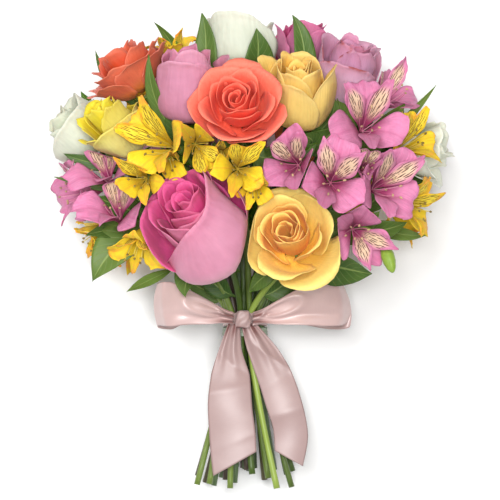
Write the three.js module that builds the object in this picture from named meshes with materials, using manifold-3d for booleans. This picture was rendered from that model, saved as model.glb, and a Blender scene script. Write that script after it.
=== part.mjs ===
// A hand-tied mixed bouquet of roses and alstroemerias, lying on its back on a flat surface.
//
// Everything is laid out in the bouquet's own frame, in millimetres: x to the right, y up the stems
// to the flowers, z to the front, with the origin in the middle of the waist where the stems are tied.
// The finished bouquet is then tilted back onto the surface and centred over the origin.

import * as THREE from "three";
import { mergeVertices } from "three/addons/utils/BufferGeometryUtils.js";
import Module from "manifold-3d";

const wasm = await Module();
wasm.setup();

// Driving dimensions

const TILT = THREE.MathUtils.degToRad(12.4); // how far the flower end is raised by its own thickness
const WAIST_HEIGHT = 54.5; // from the surface up to the middle of the waist
const FLAT = 2.6; // how far petals are flattened where they lie on the surface
const GAP = 0.3; // between pieces that touch
const CELL_GAP = 1.1; // half the room left between neighbouring blooms
const FREE_SHARE = 0.84; // of a bloom's room that is used before its petals are pressed together

const PETAL = 1.5; // thickness of a rose petal in the middle
const TEPAL = 1.3; // thickness of an alstroemeria petal in the middle
const LEAF = 1.3; // thickness of a leaf at the midrib
const RIBBON = 0.9; // thickness of the satin ribbon
const RIBBON_HALF = 17.5; // half the width of the ribbon

const ROSE_STEM = 2.55; // radius of a rose stem
const SPRAY_STEM = 2.4; // radius of an alstroemeria stem
const STALK = 1.3; // radius of the stalks that carry its flowers
const KNOB = 3.1; // radius of the knob that they spring from
const SEPALS = { depth: 6, collar: 4.2, tip: 12, valley: 5.4, top: 4.6 }; // the green star under a rose
const WAIST_RINGS = [
  { count: 3, radius: 3.1 },
  { count: 8, radius: 8.3 },
  { count: 13, radius: 13.4 },
]; // how the stems pack at the waist, from the middle outwards
const FOOT_SPREAD = [2.9, 2.2]; // how many times wider and deeper the bundle is at its cut ends
const FOOT_TWIST = THREE.MathUtils.degToRad(24); // the spiral of the stems below the waist
const FOOT_HEIGHT = -122; // the middle of the cut ends, below the waist
const FOOT_UNEVEN = 7; // how much single stems are longer or shorter than that

const BAND_WALL = 1.1; // thickness of what is wound round the stems
const WRAP = { low: [-4, 16.8], high: [12, 18.8] }; // height and inside radius of the ribbon there
const BINDING = { low: [-13, 17.4], high: [-4.6, 16.8] }; // and of the tape below it

const vec = (x, y, z) => new THREE.Vector3(x, y, z);
const point = (p) => new THREE.Vector3(p[0], p[1], p[2]);
const mix = THREE.MathUtils.lerp;
const ease = (x, low, high) => THREE.MathUtils.smoothstep(x, low, high);
const GOLDEN = Math.PI * (3 - Math.sqrt(5));
const FLOWER_REACH = 30; // from an alstroemeria's throat to its petal tips
const DOWN = vec(0, -Math.sin(TILT), -Math.cos(TILT)); // towards the surface

// Roses: name, middle of the bloom, the way it faces, its radius, its height, how open it is from
// 0 to 1, its number of petals, and how far the petals are turned about its axis

const ROSES = [
  ["coral_front", [-6, 174, 86], [-0.08, 0.22, 1], 46, 42, 0.72, 8, 0.4],
  ["pink_front", [-36, 82, 76], [-0.45, 0.52, 0.72], 53, 52, 0.6, 8, 2.6],
  ["yellow_front", [36, 66, 76], [-0.16, 0.3, 0.94], 45, 42, 0.62, 8, 1.2],
  ["peach_top", [42, 184, 54], [0.02, 0.78, 0.62], 37, 50, 0.3, 6, 0.9],
  ["mauve_top", [-47, 191, 44], [0, 0.9, 0.42], 43, 52, 0.36, 6, 4.4],
  ["coral_left", [-91, 198, 34], [-0.56, 0.78, 0.3], 43, 44, 0.85, 6, 3.1],
  ["white_top", [-3, 220, 6], [-0.02, 0.98, 0.14], 36, 48, 0.25, 5, 2.2],
  ["white_left", [-133, 152, 6], [-0.8, 0.52, 0.2], 37, 46, 0.4, 5, 0.2],
  ["white_right", [140, 140, 2], [0.9, 0.22, 0.3], 39, 46, 0.8, 6, 5.3],
  ["lilac_right", [80, 200, 18], [0.22, 0.9, 0.36], 38, 48, 0.38, 6, 1.7],
  ["yellow_left", [-103, 157, 52], [-0.6, 0.7, 0.4], 36, 46, 0.75, 6, 5.0],
  ["pink_top", [46, 221, -12], [0.18, 0.97, -0.05], 34, 42, 0.45, 5, 3.7],
  ["coral_back", [52, 152, -61.5], [0.5, 0.3, -0.8], 43, 42, 0.6, 6, 0.8],
  ["mauve_back", [-52, 150, -60], [-0.5, 0.28, -0.82], 43, 44, 0.5, 6, 2.9],
  ["yellow_back", [0, 96, -46], [0.05, -0.2, -0.98], 40, 42, 0.55, 6, 4.1],
].map(([name, at, face, radius, height, open, petals, turn]) => {
  return { name, at, face, radius, height, open, petals, turn };
});

// Alstroemeria sprays: where the flower stalks part, each flower's throat, the way it faces,
// the way its two streaked petals point, and its size; and unopened buds

const SPRAYS = [
  {
    name: "pink_right",
    fork: [56, 78, 26],
    flowers: [
      { at: [69, 109, 90], face: [0.12, -0.05, 1], up: [0.35, 1, 0], size: 1.3 },
      { at: [34, 124, 88], face: [-0.3, 0.05, 0.95], up: [-0.2, 1, 0], size: 1.03 },
      { at: [110, 106, 70], face: [0.42, 0.1, 0.9], up: [0.3, 1, 0], size: 1.25 },
      { at: [88, 63, 74], face: [0.24, -0.3, 0.92], up: [0.75, -0.65, 0], size: 1.2 },
    ],
    buds: [{ at: [116, 50, 48], from: [100, 62, 40], size: 1.0 }],
  },
  {
    name: "pink_upper",
    fork: [82, 120, 14],
    flowers: [
      { at: [95, 158, 66], face: [0.15, 0.25, 0.95], up: [0, 1, 0], size: 1.25 },
      { at: [116, 184, 26], face: [0.6, 0.62, 0.5], up: [0.1, 1, 0], size: 1.01 },
    ],
    buds: [],
  },
  {
    name: "pink_left",
    fork: [-74, 92, 22],
    flowers: [
      { at: [-110, 123, 54], face: [-0.3, 0.35, 0.88], up: [-0.1, 1, 0], size: 1.01 },
      { at: [-100, 94, 58], face: [-0.25, -0.45, 0.85], up: [0, -1, 0], size: 1.08 },
      { at: [-134, 106, 18], face: [-0.95, -0.1, 0.35], up: [0, 1, 0.3], size: 1.1 },
    ],
    buds: [{ at: [-112, 148, 20], from: [-104, 128, 18], size: 0.8 }],
  },
  {
    name: "pink_back",
    fork: [-14, 140, -22],
    flowers: [
      { at: [-2, 196, -46], face: [0.05, 0.6, -0.8], up: [0, 0.8, 0.6], size: 1.14 },
      { at: [0, 150, -72], face: [0, 0.1, -0.98], up: [0, 1, 0], size: 1.02 },
    ],
    buds: [],
  },
  {
    name: "yellow_centre",
    fork: [-34, 106, 28],
    flowers: [
      { at: [-68, 141, 82], face: [-0.5, 0.12, 0.86], up: [-0.6, 0.8, 0], size: 1.15 },
      { at: [-36, 137, 90], face: [0.1, -0.12, 0.98], up: [0.6, -0.8, 0], size: 0.89 },
      { at: [-78, 112, 80], face: [-0.2, -0.05, 0.97], up: [-0.3, 1, 0], size: 0.79 },
      { at: [-4, 122, 98], face: [0.08, 0.05, 0.99], up: [0.3, 1, 0], size: 0.94 },
    ],
    buds: [],
  },
  {
    name: "yellow_left",
    fork: [-58, 54, 18],
    flowers: [
      { at: [-84, 60, 58], face: [-0.25, -0.85, 0.5], up: [0, 0.5, 1], size: 0.89 },
      { at: [-118, 68, 8], face: [-0.8, -0.6, 0.1], up: [0, 0.3, 1], size: 0.96 },
      { at: [-92, 66, -34], face: [-0.6, -0.4, -0.7], up: [0, 1, 0], size: 0.96 },
    ],
    buds: [],
  },
  {
    name: "yellow_right",
    fork: [96, 92, 12],
    flowers: [
      { at: [131, 144, 42], face: [0.55, 0.35, 0.75], up: [-0.2, 1, 0], size: 1.01 },
      { at: [134, 92, 40], face: [0.78, -0.15, 0.6], up: [0.7, 0.7, 0], size: 1.01 },
      { at: [128, 88, -16], face: [0.85, -0.35, -0.4], up: [0, 1, 0], size: 1.01 },
    ],
    buds: [],
  },
  {
    name: "yellow_back",
    fork: [48, 82, -22],
    flowers: [
      { at: [84, 92, -44], face: [0.5, -0.3, -0.8], up: [0, 1, 0], size: 1.01 },
      { at: [98, 132, -46], face: [0.6, 0.1, -0.8], up: [0, 1, 0], size: 0.96 },
    ],
    buds: [],
  },
  {
    name: "yellow_top",
    fork: [-56, 150, -8],
    flowers: [
      { at: [-58, 220, 8], face: [-0.25, 0.95, 0.15], up: [0, 0.2, 1], size: 0.86 },
      { at: [-70, 192, -36], face: [-0.4, 0.6, -0.7], up: [0, 1, 0], size: 1.01 },
    ],
    buds: [],
  },
];

// Leaves: the stem that bears each, how far up it, the tip, a point the blade bows towards, half width

const LEAVES = [
  { stem: "rose_mauve_top", up: 0.8, tip: [-74, 209, 64], bow: [-76, 166, 58], half: 7 },
  { stem: "rose_mauve_top", up: 0.86, tip: [-34, 245, 22], bow: [-24, 212, 22], half: 11 },
  { stem: "rose_white_top", up: 0.84, tip: [9, 231, 44], bow: [14, 196, 40], half: 15 },
  { stem: "rose_peach_top", up: 0.84, tip: [37, 243, 30], bow: [56, 214, 34], half: 10 },
  { stem: "rose_coral_left", up: 0.84, tip: [-118, 216, 18], bow: [-112, 186, 14], half: 5 },
  { stem: "spray_yellow_top", up: 0.84, tip: [-72, 238, 24], bow: [-36, 208, 6], half: 8 },
  { stem: "rose_yellow_left", up: 0.86, tip: [-142, 134, 34], bow: [-122, 124, 34], half: 6 },
  { stem: "spray_pink_left", up: 0.88, tip: [-119, 34, 42], bow: [-100, 72, 48], half: 17 },
  { stem: "spray_pink_left", up: 0.82, tip: [-124, 70, 46], bow: [-96, 78, 30], half: 9 },
  { stem: "rose_yellow_left", up: 0.7, tip: [-150, 116, 26], bow: [-120, 108, 24], half: 4 },
  { stem: "rose_pink_front", up: 0.82, tip: [-46, 22, 56], bow: [-50, 46, 40], half: 13 },
  { stem: "rose_yellow_front", up: 0.8, tip: [98, 40, 60], bow: [70, 46, 42], half: 16, face: [0, -0.5, 1] },
  { stem: "rose_yellow_front", up: 0.76, tip: [4, 26, 52], bow: [8, 36, 30], half: 8 },
  { stem: "spray_pink_right", up: 0.86, tip: [70, 147, 62], bow: [62, 124, 30], half: 15 },
  { stem: "spray_yellow_right", up: 0.86, tip: [153, 66, 32], bow: [128, 66, 22], half: 8 },
  { stem: "spray_pink_upper", up: 0.88, tip: [150, 188, 30], bow: [132, 164, 10], half: 4 },
  { stem: "rose_lilac_right", up: 0.82, tip: [60, 168, 52], bow: [62, 158, 20], half: 8 },
  { stem: "rose_coral_back", up: 0.8, tip: [92, 190, -40], bow: [84, 158, -24], half: 13 },
  { stem: "rose_mauve_back", up: 0.8, tip: [-100, 116, -58], bow: [-78, 112, -34], half: 13 },
  { stem: "rose_yellow_back", up: 0.78, tip: [40, 58, -60], bow: [28, 58, -30], half: 13 },
  { stem: "rose_yellow_back", up: 0.74, tip: [-44, 56, -56], bow: [-28, 56, -26], half: 12 },
  { stem: "rose_white_left", up: 0.82, tip: [-132, 186, -18], bow: [-116, 158, -14], half: 10 },
  { stem: "rose_white_right", up: 0.82, tip: [146, 110, 10], bow: [120, 116, -6], half: 11 },
  { stem: "rose_white_top", up: 0.8, tip: [-26, 234, -34], bow: [-18, 196, -18], half: 11 },
  { stem: "rose_pink_top", up: 0.84, tip: [62, 226, -44], bow: [46, 190, -34], half: 10 },
  { stem: "rose_yellow_front", up: 0.84, tip: [84, 84, 44], bow: [58, 84, 30], half: 13 },
  { stem: "rose_coral_front", up: 0.84, tip: [26, 140, 56], bow: [18, 118, 46], half: 10 },
  { stem: "rose_coral_front", up: 0.8, tip: [-24, 142, 56], bow: [-20, 116, 44], half: 10 },
  { stem: "rose_peach_top", up: 0.82, tip: [72, 156, 50], bow: [60, 138, 34], half: 12 },
  { stem: "rose_pink_front", up: 0.82, tip: [-88, 92, 44], bow: [-60, 76, 34], half: 12 },
  { stem: "rose_white_right", up: 0.84, tip: [126, 176, 8], bow: [112, 146, 0], half: 10 },
  { stem: "rose_mauve_top", up: 0.8, tip: [-62, 168, 50], bow: [-48, 142, 40], half: 11 },
  { stem: "rose_pink_top", up: 0.8, tip: [18, 212, -40], bow: [26, 180, -34], half: 11 },
  { stem: "rose_lilac_right", up: 0.8, tip: [106, 178, -10], bow: [88, 150, -8], half: 11 },
  { stem: "spray_yellow_left", up: 0.86, tip: [-92, 26, 44], bow: [-78, 34, 26], half: 5 },
];

const COLOURS = {
  coral: 0xf2644e,
  pink: 0xe678b4,
  yellow: 0xf7cf4a,
  peach: 0xfbd978,
  mauve: 0xd994cb,
  lilac: 0xc78fc4,
  white: 0xf3f3ea,
  rose_stem: 0x5d8a3c,
  spray_stem: 0x7fb04a,
  spray_pink: 0xd873b4,
  spray_yellow: 0xf2d51f,
  ribbon: 0xe3bcba,
  binding: 0x8a9683,
};

const finish = (colour, roughness) =>
  new THREE.MeshStandardMaterial({ color: COLOURS[colour], roughness, metalness: 0 });

// Solids

function solidOf(geometry) {
  const merged = mergeVertices(geometry.deleteAttribute("normal").deleteAttribute("uv"), 1e-4);
  const vertProperties = new Float32Array(merged.attributes.position.array);
  const triVerts = new Uint32Array(merged.index.array);
  return new wasm.Manifold(new wasm.Mesh({ numProp: 3, vertProperties, triVerts }));
}

function geometryOf(solid) {
  const mesh = solid.getMesh();
  return new THREE.BufferGeometry()
    .setAttribute("position", new THREE.BufferAttribute(mesh.vertProperties, 3))
    .setIndex(new THREE.BufferAttribute(mesh.triVerts, 1));
}

const joined = (solids) => solids.reduce((all, next) => all.add(next));

const largest = (solid) =>
  solid.decompose().reduce((best, next) => (next.volume() > best.volume() ? next : best));

function faceted(points, triangles) {
  const position = new Float32Array(points.flatMap((p) => [p.x, p.y, p.z]));
  return new THREE.BufferGeometry()
    .setAttribute("position", new THREE.BufferAttribute(position, 3))
    .setIndex(triangles);
}

// A thin blade with a sharp rim round a thicker middle. shape(a, b) is its middle surface, with a
// from -1 to 1 across and b from 0 to 1 from root to tip. rows are the values of b that it is built
// on; it starts in a point, and ends in one too if it is pointed. grow swells it evenly.
function blade(shape, across, rows, pointed, thickness, grow = 0) {
  const points = [];
  const top = [];
  const under = [];
  const step = 0.02;
  rows.forEach((b, j) => {
    const single = j === 0 || (pointed && j === rows.length - 1);
    const lines = single ? [0] : Array.from({ length: across + 1 }, (_, i) => (2 * i) / across - 1);
    const pair = [[], []];
    for (const a of lines) {
      const side = shape(a + step, b).sub(shape(a - step, b)).normalize();
      const onward = shape(a, b + step).sub(shape(a, b - step)).normalize();
      const normal = side.clone().cross(onward).normalize();
      const last = j === rows.length - 1;
      const rim = single || Math.abs(a) === 1 || last;
      const middle = shape(a, b);
      if (rim && grow) {
        if (Math.abs(a) === 1) middle.addScaledVector(side, a * grow);
        if (j === 0 || last) middle.addScaledVector(onward, last ? grow : -grow);
      }
      const half = rim ? grow : thickness / 2 + grow;
      pair[0].push(points.length);
      points.push(middle.clone().addScaledVector(normal, half));
      if (half > 0) points.push(middle.clone().addScaledVector(normal, -half));
      pair[1].push(points.length - 1);
    }
    top.push(pair[0]);
    under.push(pair[1]);
  });
  const triangles = [];
  const skin = (level, flip) => {
    const push = (p, q, r) => triangles.push(p, flip ? r : q, flip ? q : r);
    for (let j = 0; j + 1 < level.length; j++) {
      const [low, high] = [level[j], level[j + 1]];
      for (let i = 0; i < across; i++) {
        if (low.length === 1) push(low[0], high[i + 1], high[i]);
        else if (high.length === 1) push(low[i], low[i + 1], high[0]);
        else if (i * 2 < across) {
          push(low[i], low[i + 1], high[i + 1]);
          push(low[i], high[i + 1], high[i]);
        } else {
          push(low[i], low[i + 1], high[i]);
          push(low[i + 1], high[i + 1], high[i]);
        }
      }
    }
  };
  skin(top, false);
  skin(under, true);
  if (grow) {
    const loop = (level) => [
      ...level.map((line) => line[line.length - 1]),
      ...level[level.length - 1].slice(0, -1).reverse(),
      ...level.slice(1, -1).reverse().map((line) => line[0]),
    ];
    const [upper, lower] = [loop(top), loop(under)];
    upper.forEach((p, k) => {
      const next = (k + 1) % upper.length;
      triangles.push(upper[next], p, lower[k], upper[next], lower[k], lower[next]);
    });
  }
  return solidOf(faceted(points, triangles));
}

// A closed skin over rings of points. A ring has as many points as the one before it, or twice as
// many, or half: every second point of the larger ring then stands over a point of the smaller.
function lofted(rings) {
  const starts = [];
  const points = [];
  for (const ring of rings) {
    starts.push(points.length);
    points.push(...ring);
  }
  const triangles = [];
  for (let j = 0; j + 1 < rings.length; j++) {
    const [n, m] = [rings[j].length, rings[j + 1].length];
    const low = (i) => starts[j] + (i % n);
    const high = (i) => starts[j + 1] + (i % m);
    for (let i = 0; i < Math.min(n, m); i++) {
      if (n === m) triangles.push(low(i), low(i + 1), high(i + 1), low(i), high(i + 1), high(i));
      else if (n < m) {
        const [first, valley, last] = [high(2 * i), high(2 * i + 1), high(2 * i + 2)];
        triangles.push(low(i), low(i + 1), valley, low(i), valley, first, low(i + 1), last, valley);
      } else {
        const [first, valley, last] = [low(2 * i), low(2 * i + 1), low(2 * i + 2)];
        triangles.push(first, valley, high(i), valley, high(i + 1), high(i), valley, last, high(i + 1));
      }
    }
  }
  const last = rings.length - 1;
  for (let i = 1; i + 1 < rings[0].length; i++) triangles.push(0, i + 1, i);
  for (let i = 1; i + 1 < rings[last].length; i++) {
    triangles.push(starts[last], starts[last] + i, starts[last] + i + 1);
  }
  return solidOf(faceted(points, triangles));
}

// Rings across a curve at the given shares of its length, each with its radius or the radius of each
// of its points. side is the way to the first point at the end of the curve.
function ringsAlong(curve, stations, sides, side) {
  const across = side.clone();
  return [...stations]
    .reverse()
    .map(({ share, radius }) => {
      const along = curve.getTangent(share);
      across.addScaledVector(along, -across.dot(along)).normalize();
      const other = along.clone().cross(across);
      const centre = curve.getPoint(share);
      return Array.from({ length: sides }, (_, i) => {
        const turn = (2 * Math.PI * i) / sides;
        return centre
          .clone()
          .addScaledVector(across, radius * Math.cos(turn))
          .addScaledVector(other, radius * Math.sin(turn));
      });
    })
    .reverse();
}

const sideOf = (along) => (Math.abs(along.z) < 0.9 ? vec(0, 0, 1) : vec(1, 0, 0));

// The room that each bloom has: it ends half way to every neighbour, and at the surface below

const cells = [
  ...ROSES.map((rose) => ({ at: point(rose.at), radius: rose.radius })),
  ...SPRAYS.flatMap(({ flowers }) =>
    flowers.map(({ at, size }) => ({ at: point(at), radius: FLOWER_REACH * size })),
  ),
];
for (const cell of cells) {
  cell.walls = cells
    .filter((other) => other !== cell)
    .map((other) => {
      const normal = other.at.clone().sub(cell.at);
      const apart = normal.length();
      const middle = (apart ** 2 + cell.radius ** 2 - other.radius ** 2) / (2 * apart);
      return { normal: normal.normalize(), reach: Math.max(middle, 0.3 * apart) - CELL_GAP };
    });
  cell.walls.push({ normal: DOWN, reach: WAIST_HEIGHT - DOWN.dot(cell.at) + FLAT });
}
const cellAt = (at) => cells.find((cell) => cell.at.distanceTo(point(at)) < 1e-9);

// Petals that would reach past a bloom's room are pressed back into it.
function pressed(cell, p) {
  const out = p.clone().sub(cell.at);
  const far = out.length();
  if (far < 1e-6) return p.clone();
  out.divideScalar(far);
  let wall = 1e4;
  for (const { normal, reach } of cell.walls) {
    const toward = normal.dot(out);
    if (toward > 1e-6) wall = Math.min(wall, reach / toward);
  }
  const free = FREE_SHARE * wall;
  if (far <= free) return p.clone();
  const room = wall - free;
  const pulled = free + room * (1 - Math.exp(-(far - free) / room));
  return cell.at.clone().addScaledVector(out, pulled);
}

// A frame with its third axis along face and its second as near to up as that allows.
function frameOf(at, face, up) {
  const out = point(face).normalize();
  const side = point(up).cross(out).normalize();
  const head = out.clone().cross(side);
  return new THREE.Matrix4().makeBasis(side, head, out).setPosition(at);
}

// Roses

const cubic = (p, t) => {
  const s = 1 - t;
  return s * s * s * p[0] + 3 * s * s * t * p[1] + 3 * s * t * t * p[2] + t * t * t * p[3];
};

// A point on a petal's middle surface, with z up the bloom's axis from its base. layer is 0 for the
// innermost petal and 1 for the outermost.
function rosePetal({ radius, height, open }, layer, angle, a, b) {
  const late = layer ** 1.2;
  const foot = mix(0.3, 0.05, layer);
  const reach = [0.1, mix(0.4, 0.76, layer), mix(0.47, 0.84 + 0.1 * open, layer),
    mix(0.36, 0.74 + 0.34 * open, late)];
  const rise = [foot, foot, mix(0.7, 0.66, layer), mix(0.98, 1 - 0.42 * open, late)];
  const length = b * (1 - 0.17 * Math.abs(a) ** 2.4 * b);
  const widen = Math.min(1, 2.4 * Math.max(b, 0)) * (1 - 0.16 * ease(b, 0.7, 1));
  const turn = angle + a * mix(1.1, 0.8, layer) * widen;
  const out = radius * (cubic(reach, length) + 0.055 * a * widen);
  return vec(out * Math.cos(turn), out * Math.sin(turn), height * cubic(rise, length));
}

// The tight heart, whose three furled petals wind round each other: rise and reach as shares of the
// bloom's height and radius
const HEART = {
  sides: 9,
  twist: 0.4,
  furl: 0.1,
  profile: [[0, 0.22], [0.34, 0.36], [0.72, 0.33], [0.92, 0.22], [0.82, 0.07]],
};

function roseBloom(rose, grow = 0) {
  const cell = cellAt(rose.at);
  const base = cell.at.clone().addScaledVector(point(rose.face).normalize(), -rose.height / 2);
  const place = frameOf(base, rose.face, [0.13, 0.9, -0.42]);
  const settle = (p) => pressed(cell, p.applyMatrix4(place));
  const petals = Array.from({ length: rose.petals }, (_, k) => {
    const layer = 1 - (1 - k / (rose.petals - 1)) ** 1.7;
    const shape = (a, b) => settle(rosePetal(rose, layer, rose.turn + k * GOLDEN, a, b));
    return blade(shape, k < 2 ? 2 : 3, [0, 0.38, 0.74, 1], false, PETAL, grow);
  });
  const heart = HEART.profile.map(([rise, reach], j) =>
    Array.from({ length: HEART.sides }, (_, i) => {
      const turn = (2 * Math.PI * i) / HEART.sides + rose.turn + HEART.twist * j;
      const out = rose.radius * reach * (1 - HEART.furl * (i % 3)) + grow;
      const up = rose.height * rise - (j ? 0 : grow);
      return settle(vec(out * Math.cos(turn), out * Math.sin(turn), up));
    }),
  );
  return joined([lofted(heart), ...petals]);
}

// Alstroemeria flowers

const LOBE_ANGLE = (k) => Math.PI / 2 + (k * Math.PI) / 3; // even petals are the broad outer ones
const TEPALS = [
  {
    reach: [0.4, 3, 14, 31],
    rise: [-30, -12, 4, 0],
    half: 11.8,
    rim: [[-1, 0.74], [-0.5, 0.98], [0.5, 0.98], [1, 0.74]],
  },
  {
    reach: [0.3, 2.4, 11, 26],
    rise: [-30, -12, 6, 11],
    half: 6.8,
    rim: [[-1, 0.7], [0, 1], [1, 0.7]],
  },
];
const BLADE_MIDDLE = 0.64; // where a petal is thickest
const NOTCH = { reach: 9.5, rise: -2 }; // where two petals part
const FUNNEL = { share: 0.35, wall: 1.1, bottom: -20 }; // the hollow of the flower below that
const NECK = { radius: 2.3, rise: -28 }; // where the flower widens from its stalk

// A point on a petal's middle surface. The throat is at the origin and z is the way the flower faces.
function tepal(k, a, b) {
  const { reach, rise, half } = TEPALS[k % 2];
  const out = cubic(reach, b);
  const across = a * half * ease(b, 0.1, 0.75);
  const [x, y] = [Math.cos(LOBE_ANGLE(k)), Math.sin(LOBE_ANGLE(k))];
  return vec(out * x - across * y, out * y + across * x, cubic(rise, b) + 0.14 * Math.abs(across));
}

// A flower and its stalk, which starts along heading
function sprayFlower(flower, start, heading, grow) {
  const cell = cellAt(flower.at);
  const place = frameOf(cell.at, flower.face, flower.up);
  const settle = (p) => pressed(cell, p.multiplyScalar(flower.size).applyMatrix4(place));
  const face = point(flower.face).normalize();
  const end = settle(vec(0, 0, NECK.rise));
  const points = [];
  const add = (p) => points.push(p) - 1;

  const curve = new THREE.CubicBezierCurve3(
    start,
    start.clone().addScaledVector(heading, 8),
    end.clone().addScaledVector(face, -14),
    end,
  );
  const side = settle(vec(0, 1, NECK.rise)).sub(end).normalize();
  const stations = [0, 0.35, 0.75, 1].map((share) => ({
    share,
    radius: (share < 1 ? STALK : NECK.radius * flower.size) + grow,
  }));
  const rings = ringsAlong(curve, stations, 6, side).map((ring) => ring.map(add));
  const triangles = [];
  for (let j = 0; j + 1 < rings.length; j++) {
    for (let i = 0; i < 6; i++) {
      const next = (i + 1) % 6;
      triangles.push(rings[j][i], rings[j][next], rings[j + 1][next]);
      triangles.push(rings[j][i], rings[j + 1][next], rings[j + 1][i]);
    }
  }
  for (let i = 1; i < 5; i++) triangles.push(rings[0][0], rings[0][i + 1], rings[0][i]);

  // Both faces of the petals. They share the points of the rim, unless the flower is swollen.
  const outward = (k, b) => {
    const [p, q] = [settle(tepal(k, 0, b - 0.02)), settle(tepal(k, 0, b + 0.02))];
    const wide = settle(tepal(k, 0.1, b)).sub(settle(tepal(k, -0.1, b)));
    return q.sub(p).cross(wide).normalize();
  };
  const notchAt = (k) => {
    const turn = LOBE_ANGLE(k) + Math.PI / 6;
    return settle(vec(NOTCH.reach * Math.cos(turn), NOTCH.reach * Math.sin(turn), NOTCH.rise));
  };
  const faces = [1, -1].map((sign) => {
    const raised = (k, b, by) => add(settle(tepal(k, 0, b)).addScaledVector(outward(k, b), sign * by));
    const lobes = Array.from({ length: 6 }, (_, k) => ({
      centre: raised(k, BLADE_MIDDLE, TEPAL / 2 + grow),
      funnel: raised(k, FUNNEL.share, FUNNEL.wall + grow),
    }));
    return { sign, lobes };
  });
  const rims = [];
  for (let k = 0; k < 6; k++) {
    const normal = outward(k, BLADE_MIDDLE);
    for (const p of [...TEPALS[k % 2].rim.map(([a, b]) => settle(tepal(k, a, b))), notchAt(k)]) {
      if (!grow) {
        const shared = add(p);
        rims.push([shared, shared]);
      } else {
        p.addScaledVector(p.clone().sub(settle(vec(0, 0, 0))).normalize(), grow);
        const sides = [grow, -grow].map((by) => add(p.clone().addScaledVector(normal, by)));
        rims.push(sides);
      }
    }
  }
  const throat = add(settle(vec(0, 0, FUNNEL.bottom)).addScaledVector(face, grow));
  for (const { sign, lobes } of faces) {
    const push = (p, q, r) => triangles.push(p, sign > 0 ? q : r, sign > 0 ? r : q);
    const rim = (i) => rims[(i + rims.length) % rims.length][sign > 0 ? 0 : 1];
    let start = 0;
    for (let k = 0; k < 6; k++) {
      const { centre, funnel } = lobes[k];
      const next = lobes[(k + 1) % 6].funnel;
      const count = TEPALS[k % 2].rim.length;
      const notch = rim(start + count);
      for (let i = start - 1; i < start + count; i++) push(centre, rim(i), rim(i + 1));
      push(funnel, rim(start - 1), centre);
      push(funnel, centre, notch);
      push(funnel, notch, next);
      if (sign > 0) push(funnel, next, throat);
      else {
        const [low, high] = [rings[3][k], rings[3][(k + 1) % 6]];
        triangles.push(low, high, next, low, next, funnel);
      }
      start += count + 1;
    }
  }
  if (grow) {
    rims.forEach(([top, under], i) => {
      const [nextTop, nextUnder] = rims[(i + 1) % rims.length];
      triangles.push(nextTop, top, under, nextTop, under, nextUnder);
    });
  }
  return solidOf(faceted(points, triangles));
}

// An unopened bud on its stalk: shares of its length from its base, with its radius at each
const BUD = [[0, 2.6], [0.4, 4.6], [0.8, 3.4], [1, 0.8]];

function stalkedBud({ at, from, size }, start, heading, grow) {
  const [base, tip] = [point(from), point(at)];
  const along = tip.clone().sub(base).normalize();
  const curve = new THREE.CubicBezierCurve3(
    start,
    start.clone().addScaledVector(heading, 8),
    base.clone().addScaledVector(along, -14),
    base,
  );
  const stalk = [0, 0.4, 0.8].map((share) => ({ share, radius: STALK + grow }));
  const swell = BUD.map(([share, radius]) => ({ share, radius: radius * size + grow }));
  const side = sideOf(along);
  return lofted([
    ...ringsAlong(curve, stalk, 5, side),
    ...ringsAlong(new THREE.LineCurve3(base, tip), swell, 5, side),
  ]);
}

// The flowers of one spray with the stalks that join them. The stalks spring side by side from a
// small knob at the fork.
function sprayHead(spray, grow = 0) {
  const fork = point(spray.fork);
  const heading = fork.clone().normalize();
  const spring = (target, i) => {
    const lean = target.clone().sub(fork);
    lean.addScaledVector(heading, -lean.dot(heading)).normalize();
    return fork.clone().addScaledVector(heading, 1.3 + 0.4 * i).addScaledVector(lean, 1.1);
  };
  const knob = new THREE.LineCurve3(fork, fork.clone().addScaledVector(heading, 2 * KNOB));
  const body = [0, 1].map((share) => ({ share, radius: KNOB + grow }));
  return joined([
    lofted(ringsAlong(knob, body, 5, sideOf(heading))),
    ...spray.flowers.map((flower, i) => {
      return sprayFlower(flower, spring(point(flower.at), i), heading, grow);
    }),
    ...spray.buds.map((bud, i) => stalkedBud(bud, spring(point(bud.at), i + 4), heading, grow)),
  ]);
}

// Stems. Where each stands in the waist follows the way its flower leans, so that none crosses another.

const stems = [
  ...ROSES.map((rose) => {
    const back = point(rose.face).normalize().negate();
    const base = pressed(cellAt(rose.at), point(rose.at).addScaledVector(back, rose.height / 2));
    const end = base.addScaledVector(back, 2 * GAP);
    return { name: `rose_${rose.name}`, end, back, radius: ROSE_STEM, rose: true };
  }),
  ...SPRAYS.map(({ name, fork }) => {
    const end = point(fork);
    const back = end.clone().normalize().negate();
    end.addScaledVector(back, GAP);
    return { name: `spray_${name}`, end, back, radius: SPRAY_STEM, rose: false };
  }),
];

function packWaist() {
  const lean = ({ end }) => Math.hypot(end.x, end.z) / end.y;
  const bearing = ({ end }) => Math.atan2(end.z, end.x);
  const order = [...stems].sort((p, q) => lean(p) - lean(q));
  for (const { count, radius } of WAIST_RINGS) {
    const ring = order.splice(0, count).sort((p, q) => bearing(p) - bearing(q));
    let [east, north] = [0, 0];
    ring.forEach((stem, i) => {
      east += Math.cos(bearing(stem) - (2 * Math.PI * i) / count);
      north += Math.sin(bearing(stem) - (2 * Math.PI * i) / count);
    });
    const start = Math.atan2(north, east);
    ring.forEach((stem, i) => {
      const turn = start + (2 * Math.PI * i) / count;
      stem.waist = vec(radius * Math.cos(turn), 0, radius * Math.sin(turn));
    });
  }
}
packWaist();

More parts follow.
